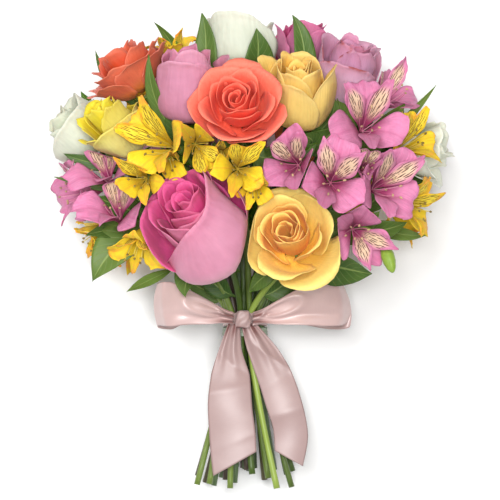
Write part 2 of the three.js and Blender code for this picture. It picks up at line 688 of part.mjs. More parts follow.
// The line of a stem from its cut end through the waist to its flower
stems.forEach((stem, i) => {
  const { waist, end, back } = stem;
  const height = FOOT_HEIGHT + FOOT_UNEVEN * Math.sin(2.4 * i);
  const reach = height / FOOT_HEIGHT;
  const twist = FOOT_TWIST * reach;
  const foot = vec(
    mix(1, FOOT_SPREAD[0], reach) * (waist.x * Math.cos(twist) + waist.z * Math.sin(twist)),
    height,
    mix(1, FOOT_SPREAD[1], reach) * (waist.z * Math.cos(twist) - waist.x * Math.sin(twist)),
  );
  const lower = new THREE.QuadraticBezierCurve3(foot, waist.clone().add(vec(0, -32, 0)), waist);
  const upper = new THREE.CubicBezierCurve3(
    waist,
    waist.clone().add(vec(0, 24, 0)),
    end.clone().addScaledVector(back, 26),
    end,
  );
  stem.lower = lower;
  stem.upper = upper;
});
const stemNamed = (name) => stems.find((stem) => stem.name === name);

// A stem. A rose's ends in the five green sepals that fold back under the bloom.
function stemTube(stem, grow = 0) {
  const sides = 5;
  const plain = stem.radius + grow;
  const side = sideOf(stem.back);
  const shaft = [0, 0.5, 0.9].map((share) => ({ share, radius: plain }));
  const neck = [0.16, 0.4, 0.68].map((share) => ({ share, radius: plain }));
  neck.push({ share: stem.rose ? 0.92 : 1, radius: plain });
  const upper = ringsAlong(stem.upper, neck, sides, side);
  const middle = stem.upper.getPoint(neck[0].share);
  const lower = ringsAlong(stem.lower, shaft, sides, upper[0][0].clone().sub(middle).normalize());
  const rings = [...lower, ...upper];
  if (stem.rose) {
    const foot = stem.end.clone().addScaledVector(stem.back, SEPALS.depth);
    const line = new THREE.LineCurve3(foot, stem.end);
    const start = upper[upper.length - 1][0].clone().sub(stem.upper.getPoint(0.92)).normalize();
    const star = ringsAlong(line, [{ share: 0.35, radius: 1 }], 10, start)[0];
    const centre = line.getPoint(0.35);
    rings.push(
      ringsAlong(line, [{ share: 0, radius: SEPALS.collar + grow }], sides, start)[0],
      star.map((p, i) => {
        const out = p.sub(centre);
        return centre.clone().addScaledVector(out, (i % 2 ? SEPALS.valley : SEPALS.tip) + grow);
      }),
      ringsAlong(line, [{ share: 1, radius: SEPALS.top + grow }], sides, start)[0],
    );
  }
  return lofted(rings);
}

function leafBlade({ stem, up, tip, bow, half, face }, grow = 0) {
  const root = stemNamed(stem).upper.getPoint(up);
  const curve = new THREE.QuadraticBezierCurve3(root, point(bow), point(tip));
  const outward = point(face ?? [0.4 * Math.sign(tip[0]), 0, tip[2] < -10 ? -1 : 1]).normalize();
  const shape = (a, b) => {
    const t = Math.min(Math.max(b, 0), 1);
    const along = curve.getTangent(t);
    const side = outward.clone().cross(along).normalize();
    const face = along.clone().cross(side);
    const wide = 1.2 + (half - 1.2) * Math.sin(Math.PI * Math.max(0, (t - 0.16) / 0.84) ** 0.85);
    const p = curve.getPoint(t).addScaledVector(side, a * wide);
    const wave = 0.05 * half * Math.sin(9 * t) * a;
    p.addScaledVector(along, (b - t) * 40);
    return p.addScaledVector(face, 0.22 * Math.abs(a) * wide + wave);
  };
  return blade(shape, 2, half > 11 ? [0, 0.26, 0.5, 0.75, 1] : [0, 0.34, 0.68, 1], true, LEAF, grow);
}

function leafyStem(stem, grow = 0) {
  const parts = [stemTube(stem, grow)];
  const own = LEAVES.filter((leaf) => leaf.stem === stem.name);
  parts.push(...own.map((leaf) => leafBlade(leaf, grow)));
  return joined(parts);
}

// Ribbon and binding

// A strip of ribbon. shape(a, s) is its middle surface, a from -1 to 1 across and s from 0 to 1 along.
function strip(shape, across, along, thickness) {
  const rings = [];
  const step = 0.01;
  for (let j = 0; j <= along; j++) {
    const s = j / along;
    const front = [];
    const rear = [];
    for (let i = 0; i <= across; i++) {
      const a = (2 * i) / across - 1;
      const side = shape(a + step, s).sub(shape(a - step, s));
      const onward = shape(a, s + step).sub(shape(a, s - step));
      const normal = side.cross(onward).normalize();
      front.push(shape(a, s).addScaledVector(normal, thickness / 2));
      rear.unshift(shape(a, s).addScaledVector(normal, -thickness / 2));
    }
    rings.push([...rear, ...front]);
  }
  return lofted(rings);
}

const KNOT = vec(-4, 4, 25.9); // middle of the knot
const KNOT_HALF = [7.5, 8.5, 6]; // half its width, height and thickness

// One loop of the bow, out to side 1 or -1 along the front and back again behind
function bowLoop(side) {
  const far = side > 0 ? 84 : 65;
  const path = new THREE.CatmullRomCurve3(
    [
      vec(KNOT.x + side * (KNOT_HALF[0] + GAP), KNOT.y + 1, KNOT.z + 1.5),
      vec(KNOT.x + side * 24, 9, 33),
      vec(KNOT.x + side * 48, 15, 36),
      vec(KNOT.x + side * (far - 6), 16, 28),
      vec(KNOT.x + side * far, 14, 17),
      vec(KNOT.x + side * (far - 9), 12, 8),
      vec(KNOT.x + side * 50, 10, 7),
      vec(KNOT.x + side * 27, 7, 15),
      vec(KNOT.x + side * (KNOT_HALF[0] + GAP), KNOT.y - 1, KNOT.z - 1.5),
    ],
    false,
    "centripetal",
  );
  return (a, s) => {
    const t = Math.min(Math.max(s, 0), 1);
    const open = Math.min(ease(t, 0, 0.34), ease(1 - t, 0, 0.34));
    const half = mix(5.5, RIBBON_HALF, open);
    const p = path.getPoint(t);
    const pleat = 2.2 * (1 - open) * Math.cos(2 * Math.PI * a);
    return p.add(vec(a * half * 0.12 * side * open, a * half, pleat * (t < 0.5 ? 0.5 : -0.5)));
  };
}

// The tails of the bow, from the knot down over the stems: middle of the ribbon and half the width
// that it shows, and how much its slanting end runs down from its left edge to its right
const TAILS = {
  left: {
    line: [[-6, -4.9, 25, 4], [-12, -20, 24, 9], [-11, -40, 27.5, 15], [-12, -62, 30, 17.3],
      [-10, -86, 32, 17.3], [-8, -109, 34, 17]],
    slant: -9.5,
  },
  right: {
    line: [[1, -4.9, 25, 4], [12, -20, 24, 9.5], [21, -38, 27, 14], [30, -62, 29, 15.5],
      [35, -84, 30, 14.8], [34, -105, 32, 11]],
    slant: 6,
  },
};

function bowTail({ line, slant }) {
  const path = new THREE.CatmullRomCurve3(line.map(point), false, "centripetal");
  const width = new THREE.CatmullRomCurve3(line.map((p, i) => vec(p[3], i, 0)), false, "centripetal");
  return (a, s) => {
    const t = Math.min(Math.max(s, 0), 1);
    const half = width.getPoint(t).x;
    const full = ease(t, 0.1, 0.45);
    const wave = 3.2 * full * Math.sin(9.5 * t) * Math.cos(1.2 * a) - 3.5 * full * a * a;
    return path.getPoint(t).add(vec(a * half, -a * slant * ease(t, 0.6, 1), wave));
  };
}

function knot() {
  const [wide, high, thick] = KNOT_HALF;
  const levels = [[-1, 0.72], [-0.55, 0.98], [0, 0.9], [0.55, 0.98], [1, 0.72]];
  const rings = levels.map(([rise, size]) =>
    Array.from({ length: 10 }, (_, i) => {
      const turn = -(2 * Math.PI * i) / 10;
      const round = (value) => Math.sign(value) * Math.abs(value) ** 0.6;
      return vec(
        KNOT.x + wide * size * round(Math.cos(turn)),
        KNOT.y + high * rise,
        KNOT.z + thick * size * round(Math.sin(turn)),
      );
    }),
  );
  return lofted(rings);
}

function band({ low, high }, grow = 0) {
  const wall = BAND_WALL + 2 * grow;
  const [bottom, top] = [low[0] - grow, high[0] + grow];
  const [inside, insideTop] = [low[1] - grow, high[1] - grow];
  const profile = [
    [inside, bottom],
    [inside + wall, bottom],
    [insideTop + wall, top],
    [insideTop, top],
    [inside, bottom],
  ].map(([r, y]) => new THREE.Vector2(r, y));
  return solidOf(new THREE.LatheGeometry(profile, 16));
}

// Assembly

const bouquet = new THREE.Group();

// Nothing reaches below the surface that the bouquet lies on.
const onSurface = (solid) => solid.trimByPlane([-DOWN.x, -DOWN.y, -DOWN.z], -WAIST_HEIGHT);

const near = (p, q) => {
  const [a, b] = [p.boundingBox(), q.boundingBox()];
  return [0, 1, 2].every((k) => a.min[k] <= b.max[k] && b.min[k] <= a.max[k]);
};
const clearOf = (solid, others) =>
  others.reduce((left, other) => (near(left, other) ? left.subtract(other) : left), solid);

// Pieces are put in place one after another. Each is made a second time, a little swollen, and later
// pieces are cut back where they would reach into that.
const kept = [];
function addPiece(name, make, colour, roughness) {
  const solid = largest(onSurface(clearOf(make(0), kept)));
  kept.push(make(GAP));
  const mesh = new THREE.Mesh(geometryOf(solid), finish(colour, roughness));
  mesh.name = name;
  bouquet.add(mesh);
}

for (const rose of ROSES) {
  const colour = rose.name.split("_")[0];
  addPiece(`rose_${rose.name}`, (grow) => roseBloom(rose, grow), colour, 0.55);
}
for (const spray of SPRAYS) {
  const colour = `spray_${spray.name.split("_")[0]}`;
  addPiece(`flowers_${spray.name}`, (grow) => sprayHead(spray, grow), colour, 0.5);
}
addPiece("ribbon_knot", knot, "ribbon", 0.3);
for (const [name, shape, along] of [
  ["ribbon_loop_left", bowLoop(-1), 13],
  ["ribbon_loop_right", bowLoop(1), 13],
  ["ribbon_tail_left", bowTail(TAILS.left), 9],
  ["ribbon_tail_right", bowTail(TAILS.right), 9],
]) {
  addPiece(name, (grow) => strip(shape, 4, along, RIBBON + 2 * grow), "ribbon", 0.3);
}
addPiece("ribbon_wrap", (grow) => band(WRAP, grow), "ribbon", 0.3);
addPiece("binding", (grow) => band(BINDING, grow), "binding", 0.7);
for (const stem of stems) {
  const colour = stem.rose ? "rose_stem" : "spray_stem";
  addPiece(`stem_${stem.name}`, (grow) => leafyStem(stem, grow), colour, 0.6);
}

bouquet.rotation.x = TILT;
bouquet.updateMatrixWorld(true);
const box = new THREE.Box3().setFromObject(bouquet, true);
const centre = box.getCenter(vec(0, 0, 0));
bouquet.position.set(-centre.x, -centre.y, WAIST_HEIGHT);

const part = new THREE.Group();
part.add(bouquet);

export default part;
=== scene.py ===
# A hand-tied mixed bouquet of roses and alstroemerias, bound below the heads and tied with a satin bow.
# It has no vase, so it lies on its back on a pale surface and is seen from above.

import math

import bmesh
import bpy
import numpy as np
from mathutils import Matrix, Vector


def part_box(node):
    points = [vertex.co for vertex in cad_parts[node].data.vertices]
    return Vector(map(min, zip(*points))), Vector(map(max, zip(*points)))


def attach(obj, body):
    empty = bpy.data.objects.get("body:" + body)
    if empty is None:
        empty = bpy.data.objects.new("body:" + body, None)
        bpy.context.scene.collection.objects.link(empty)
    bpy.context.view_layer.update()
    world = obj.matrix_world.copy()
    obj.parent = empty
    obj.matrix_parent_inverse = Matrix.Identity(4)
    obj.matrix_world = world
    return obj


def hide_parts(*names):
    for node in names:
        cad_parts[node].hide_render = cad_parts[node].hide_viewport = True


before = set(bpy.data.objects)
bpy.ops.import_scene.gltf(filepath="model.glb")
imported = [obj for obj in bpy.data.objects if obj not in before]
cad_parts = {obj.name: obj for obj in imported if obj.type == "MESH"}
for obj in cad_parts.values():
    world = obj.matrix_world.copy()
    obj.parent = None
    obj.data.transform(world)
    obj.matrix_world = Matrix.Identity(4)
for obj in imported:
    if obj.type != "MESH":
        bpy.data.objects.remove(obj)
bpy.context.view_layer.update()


# How the bouquet lies
# It is laid out as if it stood: in millimetres, x to the right, y up the stems and z to the front, from
# the middle of the waist. The ribbon wound round the waist shows where that is now that it lies down.

TILT = math.radians(12.4)
WRAP_LOW, WRAP_HIGH = (-4.0, 16.8), (12.0, 18.8)  # height and inside radius of that turn of ribbon
SKIN = 0.3  # half a petal's thickness, kept above the surface

wrap_low, wrap_high = (np.array(corner) * 1000 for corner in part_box("ribbon_wrap"))
wrap_rise = (WRAP_LOW[0] + WRAP_HIGH[0]) / 2
wrap_flare = (WRAP_HIGH[1] - WRAP_LOW[1]) / 2
COS, SIN = math.cos(TILT), math.sin(TILT)
WAIST = (wrap_low + wrap_high) / 2 - [
    0,
    wrap_rise * COS + wrap_flare * SIN,
    wrap_rise * SIN + wrap_flare * COS,
]
RAISED = np.array([[1, 0, 0], [0, COS, -SIN], [0, SIN, COS]])
DOWN = np.array([0, -SIN, -COS])


def lay_down(points):
    """Points of the bouquet in mm to where it lies in metres, none of them below the surface."""
    laid = np.asarray(points) @ RAISED.T + WAIST
    laid[:, 2] = np.maximum(laid[:, 2], SKIN)
    return laid / 1000


# Roses
# Each bloom is some twenty petals in a spiral: tight and upright round the heart, wider and rolled back
# at the rim towards the outside. Every bloom ends half way to its neighbours, as in a tied bunch.

ROSES = [
    # name, middle, the way it faces, radius, height, how open, outer petals, turn of them, colouring
    ("coral_front", [-6, 168, 84], [-0.08, 0.46, 0.88], 45, 44, 0.85, 12, 0.4, "coral"),
    ("pink_front", [-35, 79, 76], [-0.45, 0.52, 0.72], 54, 60, 0.3, 10, 2.6, "pink"),
    ("yellow_front", [36, 66, 76], [-0.16, 0.3, 0.94], 50, 44, 0.85, 9, 1.2, "yellow"),
    ("peach_top", [41, 181, 54], [0.02, 0.82, 0.58], 36, 58, 0.2, 5, 0.9, "peach"),
    ("mauve_top", [-45, 188, 46], [0, 0.9, 0.42], 41, 62, 0.05, 4, 4.4, "mauve"),
    ("coral_left", [-91, 198, 34], [-0.6, 0.79, 0.12], 43, 44, 1.0, 13, 3.1, "orange"),
    ("white_top", [-3, 220, 8], [-0.02, 1, 0.03], 35, 50, 0.05, 4, 2.2, "white"),
    ("white_left", [-133, 152, 6], [-0.8, 0.52, 0.2], 36, 46, 0.1, 4, 0.2, "white"),
    # its white is painted lighter against the shade it lies in
    ("white_right", [140, 140, 2], [0.9, 0.22, 0.3], 39, 46, 0.85, 9, 5.3, "ivory"),
    ("lilac_right", [80, 200, 18], [0.22, 0.9, 0.36], 38, 52, 0.3, 6, 1.7, "lilac"),
    ("yellow_left", [-101, 153, 52], [-0.6, 0.7, 0.4], 36, 56, 0.7, 7, 5.0, "lemon"),
    ("pink_top", [46, 221, -12], [0.18, 0.97, -0.05], 34, 42, 0.45, 8, 3.7, "fuchsia"),
    ("coral_back", [52, 152, -61.5], [0.5, 0.3, -0.8], 43, 42, 0.6, 14, 0.8, "coral"),
    ("mauve_back", [-52, 150, -60], [-0.5, 0.28, -0.82], 43, 44, 0.5, 13, 2.9, "mauve"),
    ("yellow_back", [0, 96, -46], [0.05, -0.2, -0.98], 40, 42, 0.55, 13, 4.1, "yellow"),
]
SPRAYS = [
    # name, colour, where the stalks part, flowers (throat, facing, way up, size), buds (tip, foot, size)
    ("pink_right", "pink", [56, 78, 26], [
        ([67, 112, 88], [0.05, 0.05, 1], [0.35, 1, 0], 1.25),
        ([36, 124, 88], [-0.2, 0.0, 0.95], [-0.2, 1, 0], 1.1),
        ([110, 108, 70], [0.42, 0.1, 0.9], [0.3, 1, 0], 1.25),
        ([86, 71, 80], [0.1, -0.15, 0.98], [0.7, -0.7, 0], 1.12),
        ([94, 124, 76], [0.2, 0.2, 0.95], [0.1, 1, 0], 0.75),
    ], [([113, 41, 84], [106, 65, 74], 1.15)]),
    ("pink_upper", "pink", [82, 120, 14], [
        ([95, 158, 66], [0.15, 0.25, 0.95], [0, 1, 0], 1.25),
        ([116, 184, 26], [0.6, 0.62, 0.5], [0.1, 1, 0], 1.01),
    ], []),
    ("pink_left", "pink", [-74, 92, 22], [
        ([-110, 123, 54], [-0.2, 0.55, 0.8], [-0.1, 1, 0], 1.01),
        ([-100, 94, 58], [-0.1, 0.5, 0.85], [0.2, 1, 0], 1.08),
        ([-134, 106, 18], [-0.95, -0.1, 0.35], [0, 1, 0.3], 1.1),
    ], [([-112, 148, 20], [-104, 128, 18], 0.8)]),
    ("pink_back", "pink", [-14, 140, -22], [
        ([-2, 196, -46], [0.05, 0.6, -0.8], [0, 0.8, 0.6], 1.14),
        ([0, 150, -72], [0, 0.1, -0.98], [0, 1, 0], 1.02),
    ], []),
    ("yellow_centre", "yellow", [-34, 106, 28], [
        ([-68, 141, 82], [-0.5, 0.12, 0.86], [-0.6, 0.8, 0], 1.25),
        ([-36, 137, 90], [0.1, -0.12, 0.98], [0.6, -0.8, 0], 1.0),
        ([-80, 113, 80], [-0.2, -0.05, 0.97], [-0.3, 1, 0], 0.92),
        ([-4, 122, 98], [0.08, 0.05, 0.99], [0.3, 1, 0], 1.02),
        ([-20, 130, 86], [-0.1, -0.3, 0.95], [-0.4, 1, 0], 0.75),
        ([-57, 126, 84], [0.1, -0.3, 0.95], [0.5, 1, 0], 0.8),
        ([8, 106, 92], [0.1, -0.5, 0.85], [0.5, 1, 0.3], 0.7),
    ], []),
    ("yellow_left", "yellow", [-58, 54, 18], [
        ([-84, 60, 58], [-0.25, -0.85, 0.5], [0, 0.5, 1], 0.89),
        ([-118, 68, 8], [-0.8, -0.6, 0.1], [0, 0.3, 1], 0.96),
        ([-92, 66, -34], [-0.6, -0.4, -0.7], [0, 1, 0], 0.96),
    ], []),
    ("yellow_right", "yellow", [96, 92, 12], [
        ([131, 144, 42], [0.55, 0.35, 0.75], [-0.2, 1, 0], 1.01),
        ([134, 92, 40], [0.78, -0.15, 0.6], [0.7, 0.7, 0], 1.01),
        ([128, 88, -16], [0.85, -0.35, -0.4], [0, 1, 0], 1.01),
    ], []),
    ("yellow_back", "yellow", [48, 82, -22], [
        ([84, 92, -44], [0.5, -0.3, -0.8], [0, 1, 0], 1.01),
        ([98, 132, -46], [0.6, 0.1, -0.8], [0, 1, 0], 0.96),
    ], []),
    ("yellow_top", "yellow", [-56, 150, -8], [
        ([-58, 220, 8], [-0.25, 0.95, 0.15], [0, 0.2, 1], 0.86),
        ([-70, 192, -36], [-0.4, 0.6, -0.7], [0, 1, 0], 1.01),
    ], []),
]

# Colours of a rose petal: near the heart, on its face, at its rim and at its foot
PETAL_COLOURS = {
    # palette: outside of the petal, inside of the petal
    "coral": (["#EA4632", "#F66852", "#FC8872", "#F28446"], ["#F4543E", "#FC745E", "#FE8672", "#F4624A"]),
    "orange": (["#CA401A", "#D06648", "#DC7E66", "#D87A26"], ["#D24A2A", "#DA6E5A", "#E27E6C", "#D65E28"]),
    "pink": (["#D04078", "#C88298", "#D27A96", "#D4AAB0"], ["#CA3874", "#D04A84", "#DA6896", "#C43A78"]),
    "fuchsia": (["#B43C7A", "#BC7090", "#C45A88", "#C88C9C"], ["#A82862", "#BE4078", "#CC6894", "#B2306A"]),
    "yellow": (["#F2A048", "#ECCE7A", "#EED484", "#E4BC58"], ["#F8AC50", "#F8D272", "#FADC7E", "#F4B84A"]),
    "lemon": (["#DCC42C", "#DCCC78", "#E6D44C", "#CEC27C"], ["#DCC014", "#E4CA28", "#EAD648", "#D8B818"]),
    "peach": (["#E6B450", "#E2BC6A", "#EACB84", "#E0B45C"], ["#E8AC44", "#EEBE60", "#F0CC80", "#E6AE4C"]),
    "mauve": (["#CC7492", "#C8849C", "#D696AC", "#CA829A"], ["#C4688C", "#CC7892", "#D690A8", "#C46C90"]),
    "lilac": (["#BA7494", "#C89AB2", "#B46C80", "#D2AEBE"], ["#B6688A", "#C688A4", "#CE9CB4", "#BC7496"]),
    # The same white as the other white roses, painted lighter and less green for the rose on the right, which
    # lies in shade
    "ivory": (["#D6D6C0", "#E2E2D2", "#EAEADC", "#D8DABC"], ["#D4D4BC", "#E2E2D0", "#E8E8D8", "#D4D6B8"]),
    "white": (["#BEC2A6", "#CACCB8", "#D2D2C2", "#C0C4A4"], ["#BEC2A4", "#C8CAB4", "#D0D0BE", "#BCC0A0"]),
}
GOLDEN = math.pi * (3 - math.sqrt(5))  # turn from each petal to the next
FREE_SHARE = 0.84  # of a bloom's room that is used before its petals are pressed together
CELL_GAP = 0.8  # half the room left between neighbouring blooms
FLAT = 2.6  # how far petals are flattened where they lie on the surface
FLOWER_REACH = 30  # from an alstroemeria's throat to its petal tips
ROSE_PETAL = 0.32  # thickness
ROSE_HEAD = [0.13, 0.9, -0.42]  # which way the top of every rose's face points
HEART_PETALS = (8, 5)  # of an open rose and of a closed one
HEART_GRID, OUTER_GRID, GUARD_GRID = (16, 12), (14, 14), (22, 18)  # columns and rows of each kind of petal
CLOSED = 0.3  # roses less open than this draw together over the heart
TUCKED = 0.4  # how far out petals may lie that a guard petal covers
SPOTTED = {"lilac": 0.9}  # how much the rims of a palette are spotted outside
RUFFLED = {"coral_left": 2.2, "yellow_left": 3.0, "white_right": 1.8, "pink_top": 2.0}  # crimped rims
HEART_LEAN = {"pink_front": [-1, 8, -2], "yellow_front": [-2, 4.5, 0]}  # how far a heart leans off the middle
GUARD_PETALS = {
    # petals that show most: which way they lie, half width, reach of the rim, its rise, lean and belly,
    # with three numbers where one end, the middle and the other end differ
    "pink_front": [(0.95, 0.85, 0.86, 0.86, 0.45, 1.0),
                   (-0.87, 1.83, (0.59, 0.4, 0.35), (0.46, 0.87, 1.45), -0.88, (0.85, 1.5, 0.58))],
    "mauve_top": [(-1.2, 1.5, (0.42, 0.3, 0.36), (0.8, 1.0, 0.82), -0.6, 0.7),
                  (2.75, 0.9, (0.8, 0.9, 0.8), (0.8, 0.76, 0.8), 0.6, 0.9),
                  (0.35, 0.8, (0.7, 0.75, 0.7), (0.84, 0.82, 0.8), 0.3, 0.9),
                  (-1.5, 1.35, (0.7, 0.6, 0.68), (0.9, 0.92, 0.88), 0.35, 1.05)],
    "peach_top": [(2.85, 0.7, (0.98, 0.98, 0.9), 0.84, 0.9, 0.95),
                  (-0.15, 1.0, (0.68, 0.72, 0.68), (0.78, 0.94, 0.8), -0.25, (1.0, 1.3, 1.0)),
                  (-1.8, 1.0, (0.7, 0.64, 0.64), (0.84, 0.84, 0.76), 0.1, 1.0)],
    "white_top": [(1.6, 1.2, 0.6, (0.8, 0.9, 0.8), -0.3, 0.95),
                  (3.0, 1.0, 0.7, (0.84, 0.94, 0.84), -0.2, 0.95),
                  (0.1, 1.0, 0.66, (0.7, 0.84, 0.8), -0.2, 0.9),
                  (-1.6, 1.5, (0.74, 0.7, 0.74), (0.9, 1.0, 0.9), -0.1, 1.0)],
    "white_left": [(2.2, 1.3, 0.7, 0.86, 0.0, 0.9),
                   (-0.5, 1.5, (0.8, 0.76, 0.8), (0.8, 0.84, 0.8), 0.1, 1.0)],
    "yellow_left": [(-0.7, 1.3, (0.9, 0.84, 0.9), 0.72, 0.4, 1.0)],
    "lilac_right": [(-1.7, 1.25, (0.8, 0.76, 0.8), (0.76, 0.74, 0.76), 0.2, 1.0)],
}


def unit(vector):
    """A vector made one long, or each row of many."""
    vector = np.asarray(vector, float)
    return vector / np.linalg.norm(vector, axis=-1, keepdims=True)


def mix(low, high, share):
    return low + (high - low) * share


def ease(x, low, high):
    """0 below low and 1 above high, with a smooth step between."""
    t = np.clip((x - low) / (high - low), 0, 1)
    return t * t * (3 - 2 * t)


def bell(x, middle, width):
    """1 in the middle, falling away softly on both sides."""
    return np.exp(-(((x - middle) / width) ** 2))


def bezier(points, t):
    """Points at shares t of the Bezier curve through the given control points or values."""
    levels = [np.asarray(p, float) for p in points]
    t = np.asarray(t, float)
    if levels[0].ndim:
        t = t[:, None]
    while len(levels) > 1:
        levels = [p + (q - p) * t for p, q in zip(levels, levels[1:])]
    return levels[0]


def room_of_each_bloom():
    """The middle of each bloom and the walls of its room: which way each wall lies and how far off."""
    cells = [(np.array(at, float), radius) for _, at, _, radius, *_ in ROSES]
    for *_, flowers, _ in SPRAYS:
        cells += [(np.array(at, float), FLOWER_REACH * size) for at, _, _, size in flowers]
    rooms = {}
    for at, radius in cells:
        walls = [(DOWN, WAIST[2] - DOWN @ at + FLAT)]
        for other, other_radius in cells:
            apart = np.linalg.norm(other - at)
            if apart:
                middle = (apart**2 + radius**2 - other_radius**2) / (2 * apart)
                walls.append(((other - at) / apart, max(middle, 0.3 * apart) - CELL_GAP))
        rooms[tuple(at)] = (at, np.array([w[0] for w in walls]), np.array([w[1] for w in walls]))
    return rooms


ROOMS = room_of_each_bloom()


def pressed(at, points):
    """Points that would reach past a bloom's room are pressed back into it."""
    middle, normals, reaches = ROOMS[tuple(np.array(at, float))]
    out = points - middle
    far = np.maximum(np.linalg.norm(out, axis=1), 1e-6)
    toward = (out / far[:, None]) @ normals.T
    wall = np.where(toward > 1e-6, reaches / np.maximum(toward, 1e-6), 1e4).min(axis=1)
    free = FREE_SHARE * wall
    room = wall - free
    over = np.maximum(far - free, 0)
    pulled = np.where(over > 0, free + room * (1 - np.exp(-over / room)), far)
    return middle + out * (pulled / far)[:, None]


def frame_of(face, up):
    """The side, head and front of something that faces one way with its head another."""
    front = unit(face)
    side = unit(np.cross(up, front))
    return np.array([side, np.cross(front, side), front])


def start_mesh():
    """A bmesh whose points carry their place on a petal, leaf or strip, and a draw, for the materials."""
    mesh = bmesh.new()
    mesh.verts.layers.float_vector.new("petal")
    mesh.verts.layers.float.new("draw")
    return mesh


def bend_grid(mesh, grid, place, draw=0.5, depth=0.0, finish=0):
    """Bends a grid of columns and rows into a blade, strip or tube. place gives its points, with a from
    -1 to 1 across and b from 0 to 1 along. Its material reads the draw and the depth."""
    made = bmesh.ops.create_grid(mesh, x_segments=grid[0], y_segments=grid[1], size=1)["verts"]
    flat = np.array([vert.co for vert in made])
    a, b = flat[:, 0], (flat[:, 1] + 1) / 2
    petal, chance = mesh.verts.layers.float_vector["petal"], mesh.verts.layers.float["draw"]
    for vert, point, across, along in zip(made, lay_down(place(a, b)), a, b):
        vert.co = point
        vert[petal] = (across, along, depth)
        vert[chance] = draw
    for face in {face for vert in made for face in vert.link_faces}:
        face.smooth = True
        face.material_index = finish
    bmesh.ops.remove_doubles(mesh, verts=made, dist=1e-6)


def new_object(name, data):
    made = bpy.data.objects.new(name, data)
    bpy.context.scene.collection.objects.link(made)
    return made


def mesh_object(name, mesh, materials):
    """Makes a bmesh an object of the scene."""
    data = bpy.data.meshes.new(name)
    mesh.to_mesh(data)
    mesh.free()
    for material in materials:
        data.materials.append(material)
    return new_object(name, data)


def finish_piece(name, mesh, materials, node, thickness=0):
    """Makes the mesh a piece that stands for a CAD node and rides on the bouquet. Blades are given a
    thickness, and then the second material is for their inside face."""
    piece = mesh_object(name, mesh, materials)
    if thickness:
        solid = piece.modifiers.new("Thickness", "SOLIDIFY")
        solid.thickness, solid.offset = thickness / 1000, 0
        solid.material_offset = len(materials) - 1
    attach(piece, "root")
    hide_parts(node)
    return piece


def colour(code):
    """A colour written as #RRGGBB, in the linear values that a shader takes."""
    parts = [int(code[i : i + 2], 16) / 255 for i in (1, 3, 5)]
    return [c / 12.92 if c <= 0.04045 else ((c + 0.055) / 1.055) ** 2.4 for c in parts] + [1]


def shader_node(kind, sockets=(), output=0, tree=None, **settings):
    """Adds a node where its inputs come from, or to a given tree, and returns one of its outputs."""
    sockets = dict(sockets)
    flows = {name: value for name, value in sockets.items() if isinstance(value, bpy.types.NodeSocket)}
    if tree is None:
        tree = next(iter(flows.values())).id_data
    made = tree.nodes.new("ShaderNode" + kind)
    for name, value in settings.items():
        setattr(made, name, value)
    for name, value in sockets.items():
        if name in flows:
            tree.links.new(value, made.inputs[name])
        else:
            made.inputs[name].default_value = value
    return made.outputs[output]


def calc(operation, *values):
    return shader_node("Math", enumerate(values), operation=operation)


def times(value, *others):
    for other in others:
        value = calc("MULTIPLY", value, other)
    return value


def varied(base, *changes):
    """A base value, raised and lowered by values that vary round a half, each with its reach."""
    for value, reach in changes:
        base = calc("MULTIPLY_ADD", calc("SUBTRACT", value, 0.5), reach, base)
    return base


def step(value, low, high):
    """0 below low and 1 above high, with a smooth step between, for a shader."""
    sockets = {"Value": value, "From Min": low, "From Max": high}
    return shader_node("MapRange", sockets, interpolation_type="SMOOTHSTEP")


def fade(value, low, high):
    """1 below low and 0 above high."""
    return calc("SUBTRACT", 1.0, step(value, low, high))


def tint(share, first, second):
    return shader_node("Mix", {0: share, 6: first, 7: second}, 2, data_type="RGBA")


def brightened(shade, value):
    return shader_node("HueSaturation", {"Color": shade, "Value": value})


def noise(place, scale, detail):
    return shader_node("TexNoise", {"Vector": place, "Scale": scale, "Detail": detail})


def stretched(*parts):
    """Where a pattern is read, from pairs of a value and how fast the pattern runs along it."""
    return shader_node("CombineXYZ", enumerate(times(value, speed) for value, speed in parts))


def shade_group(name, inputs):
    """Starts a shader node group with those inputs. It gives them, the place in the object, and what the
    mesh carries: across, along, depth and the draw."""
    tree = bpy.data.node_groups.new(name, "ShaderNodeTree")
    for label, value in inputs.items():
        kind = "NodeSocketFloat" if isinstance(value, float) else "NodeSocketColor"
        socket = tree.interface.new_socket(name=label, in_out="INPUT", socket_type=kind)
        socket.default_value = value if isinstance(value, float) else colour(value)
    for label, kind in (("Color", "Color"), ("Roughness", "Float"), ("Normal", "Vector")):
        tree.interface.new_socket(name=label, in_out="OUTPUT", socket_type="NodeSocket" + kind)
    given = tree.nodes.new("NodeGroupInput").outputs
    place = shader_node("TexCoord", output="Object", tree=tree)
    where = shader_node("Attribute", output="Vector", tree=tree, attribute_name="petal")
    across, along, depth = shader_node("SeparateXYZ", {0: where}).node.outputs[:3]
    chance = shader_node("Attribute", output="Fac", tree=tree, attribute_name="draw")
    return given, place, across, along, depth, chance


def close_group(shade, roughness, height, depth):
    """Ends a group with its colour, its roughness and a relief, which goes so deep, in metres."""
    bump = shader_node("Bump", {"Height": height, "Distance": depth, "Strength": 0.6})
    tree = bump.id_data
    out = tree.nodes.new("NodeGroupOutput")
    for label, value in (("Color", shade), ("Roughness", roughness), ("Normal", bump)):
        tree.links.new(value, out.inputs[label])
    return tree


def finish_from(group, name, values, **settings):
    """A material that takes its colour, roughness and normal from a shade group."""
    material = bpy.data.materials.new(name)
    material.use_nodes = True
    tree = material.node_tree
    shader = tree.nodes["Principled BSDF"]
    shade = tree.nodes.new("ShaderNodeGroup")
    shade.node_tree = group
    for label, value in values.items():
        shade.inputs[label].default_value = colour(value) if isinstance(value, str) else value
    for label in ("Roughness", "Normal"):
        tree.links.new(shade.outputs[label], shader.inputs[label])
    tree.links.new(shade.outputs["Color"], shader.inputs["Base Color"])
    for label, value in settings.items():
        shader.inputs[label.replace("_", " ")].default_value = value
    return material


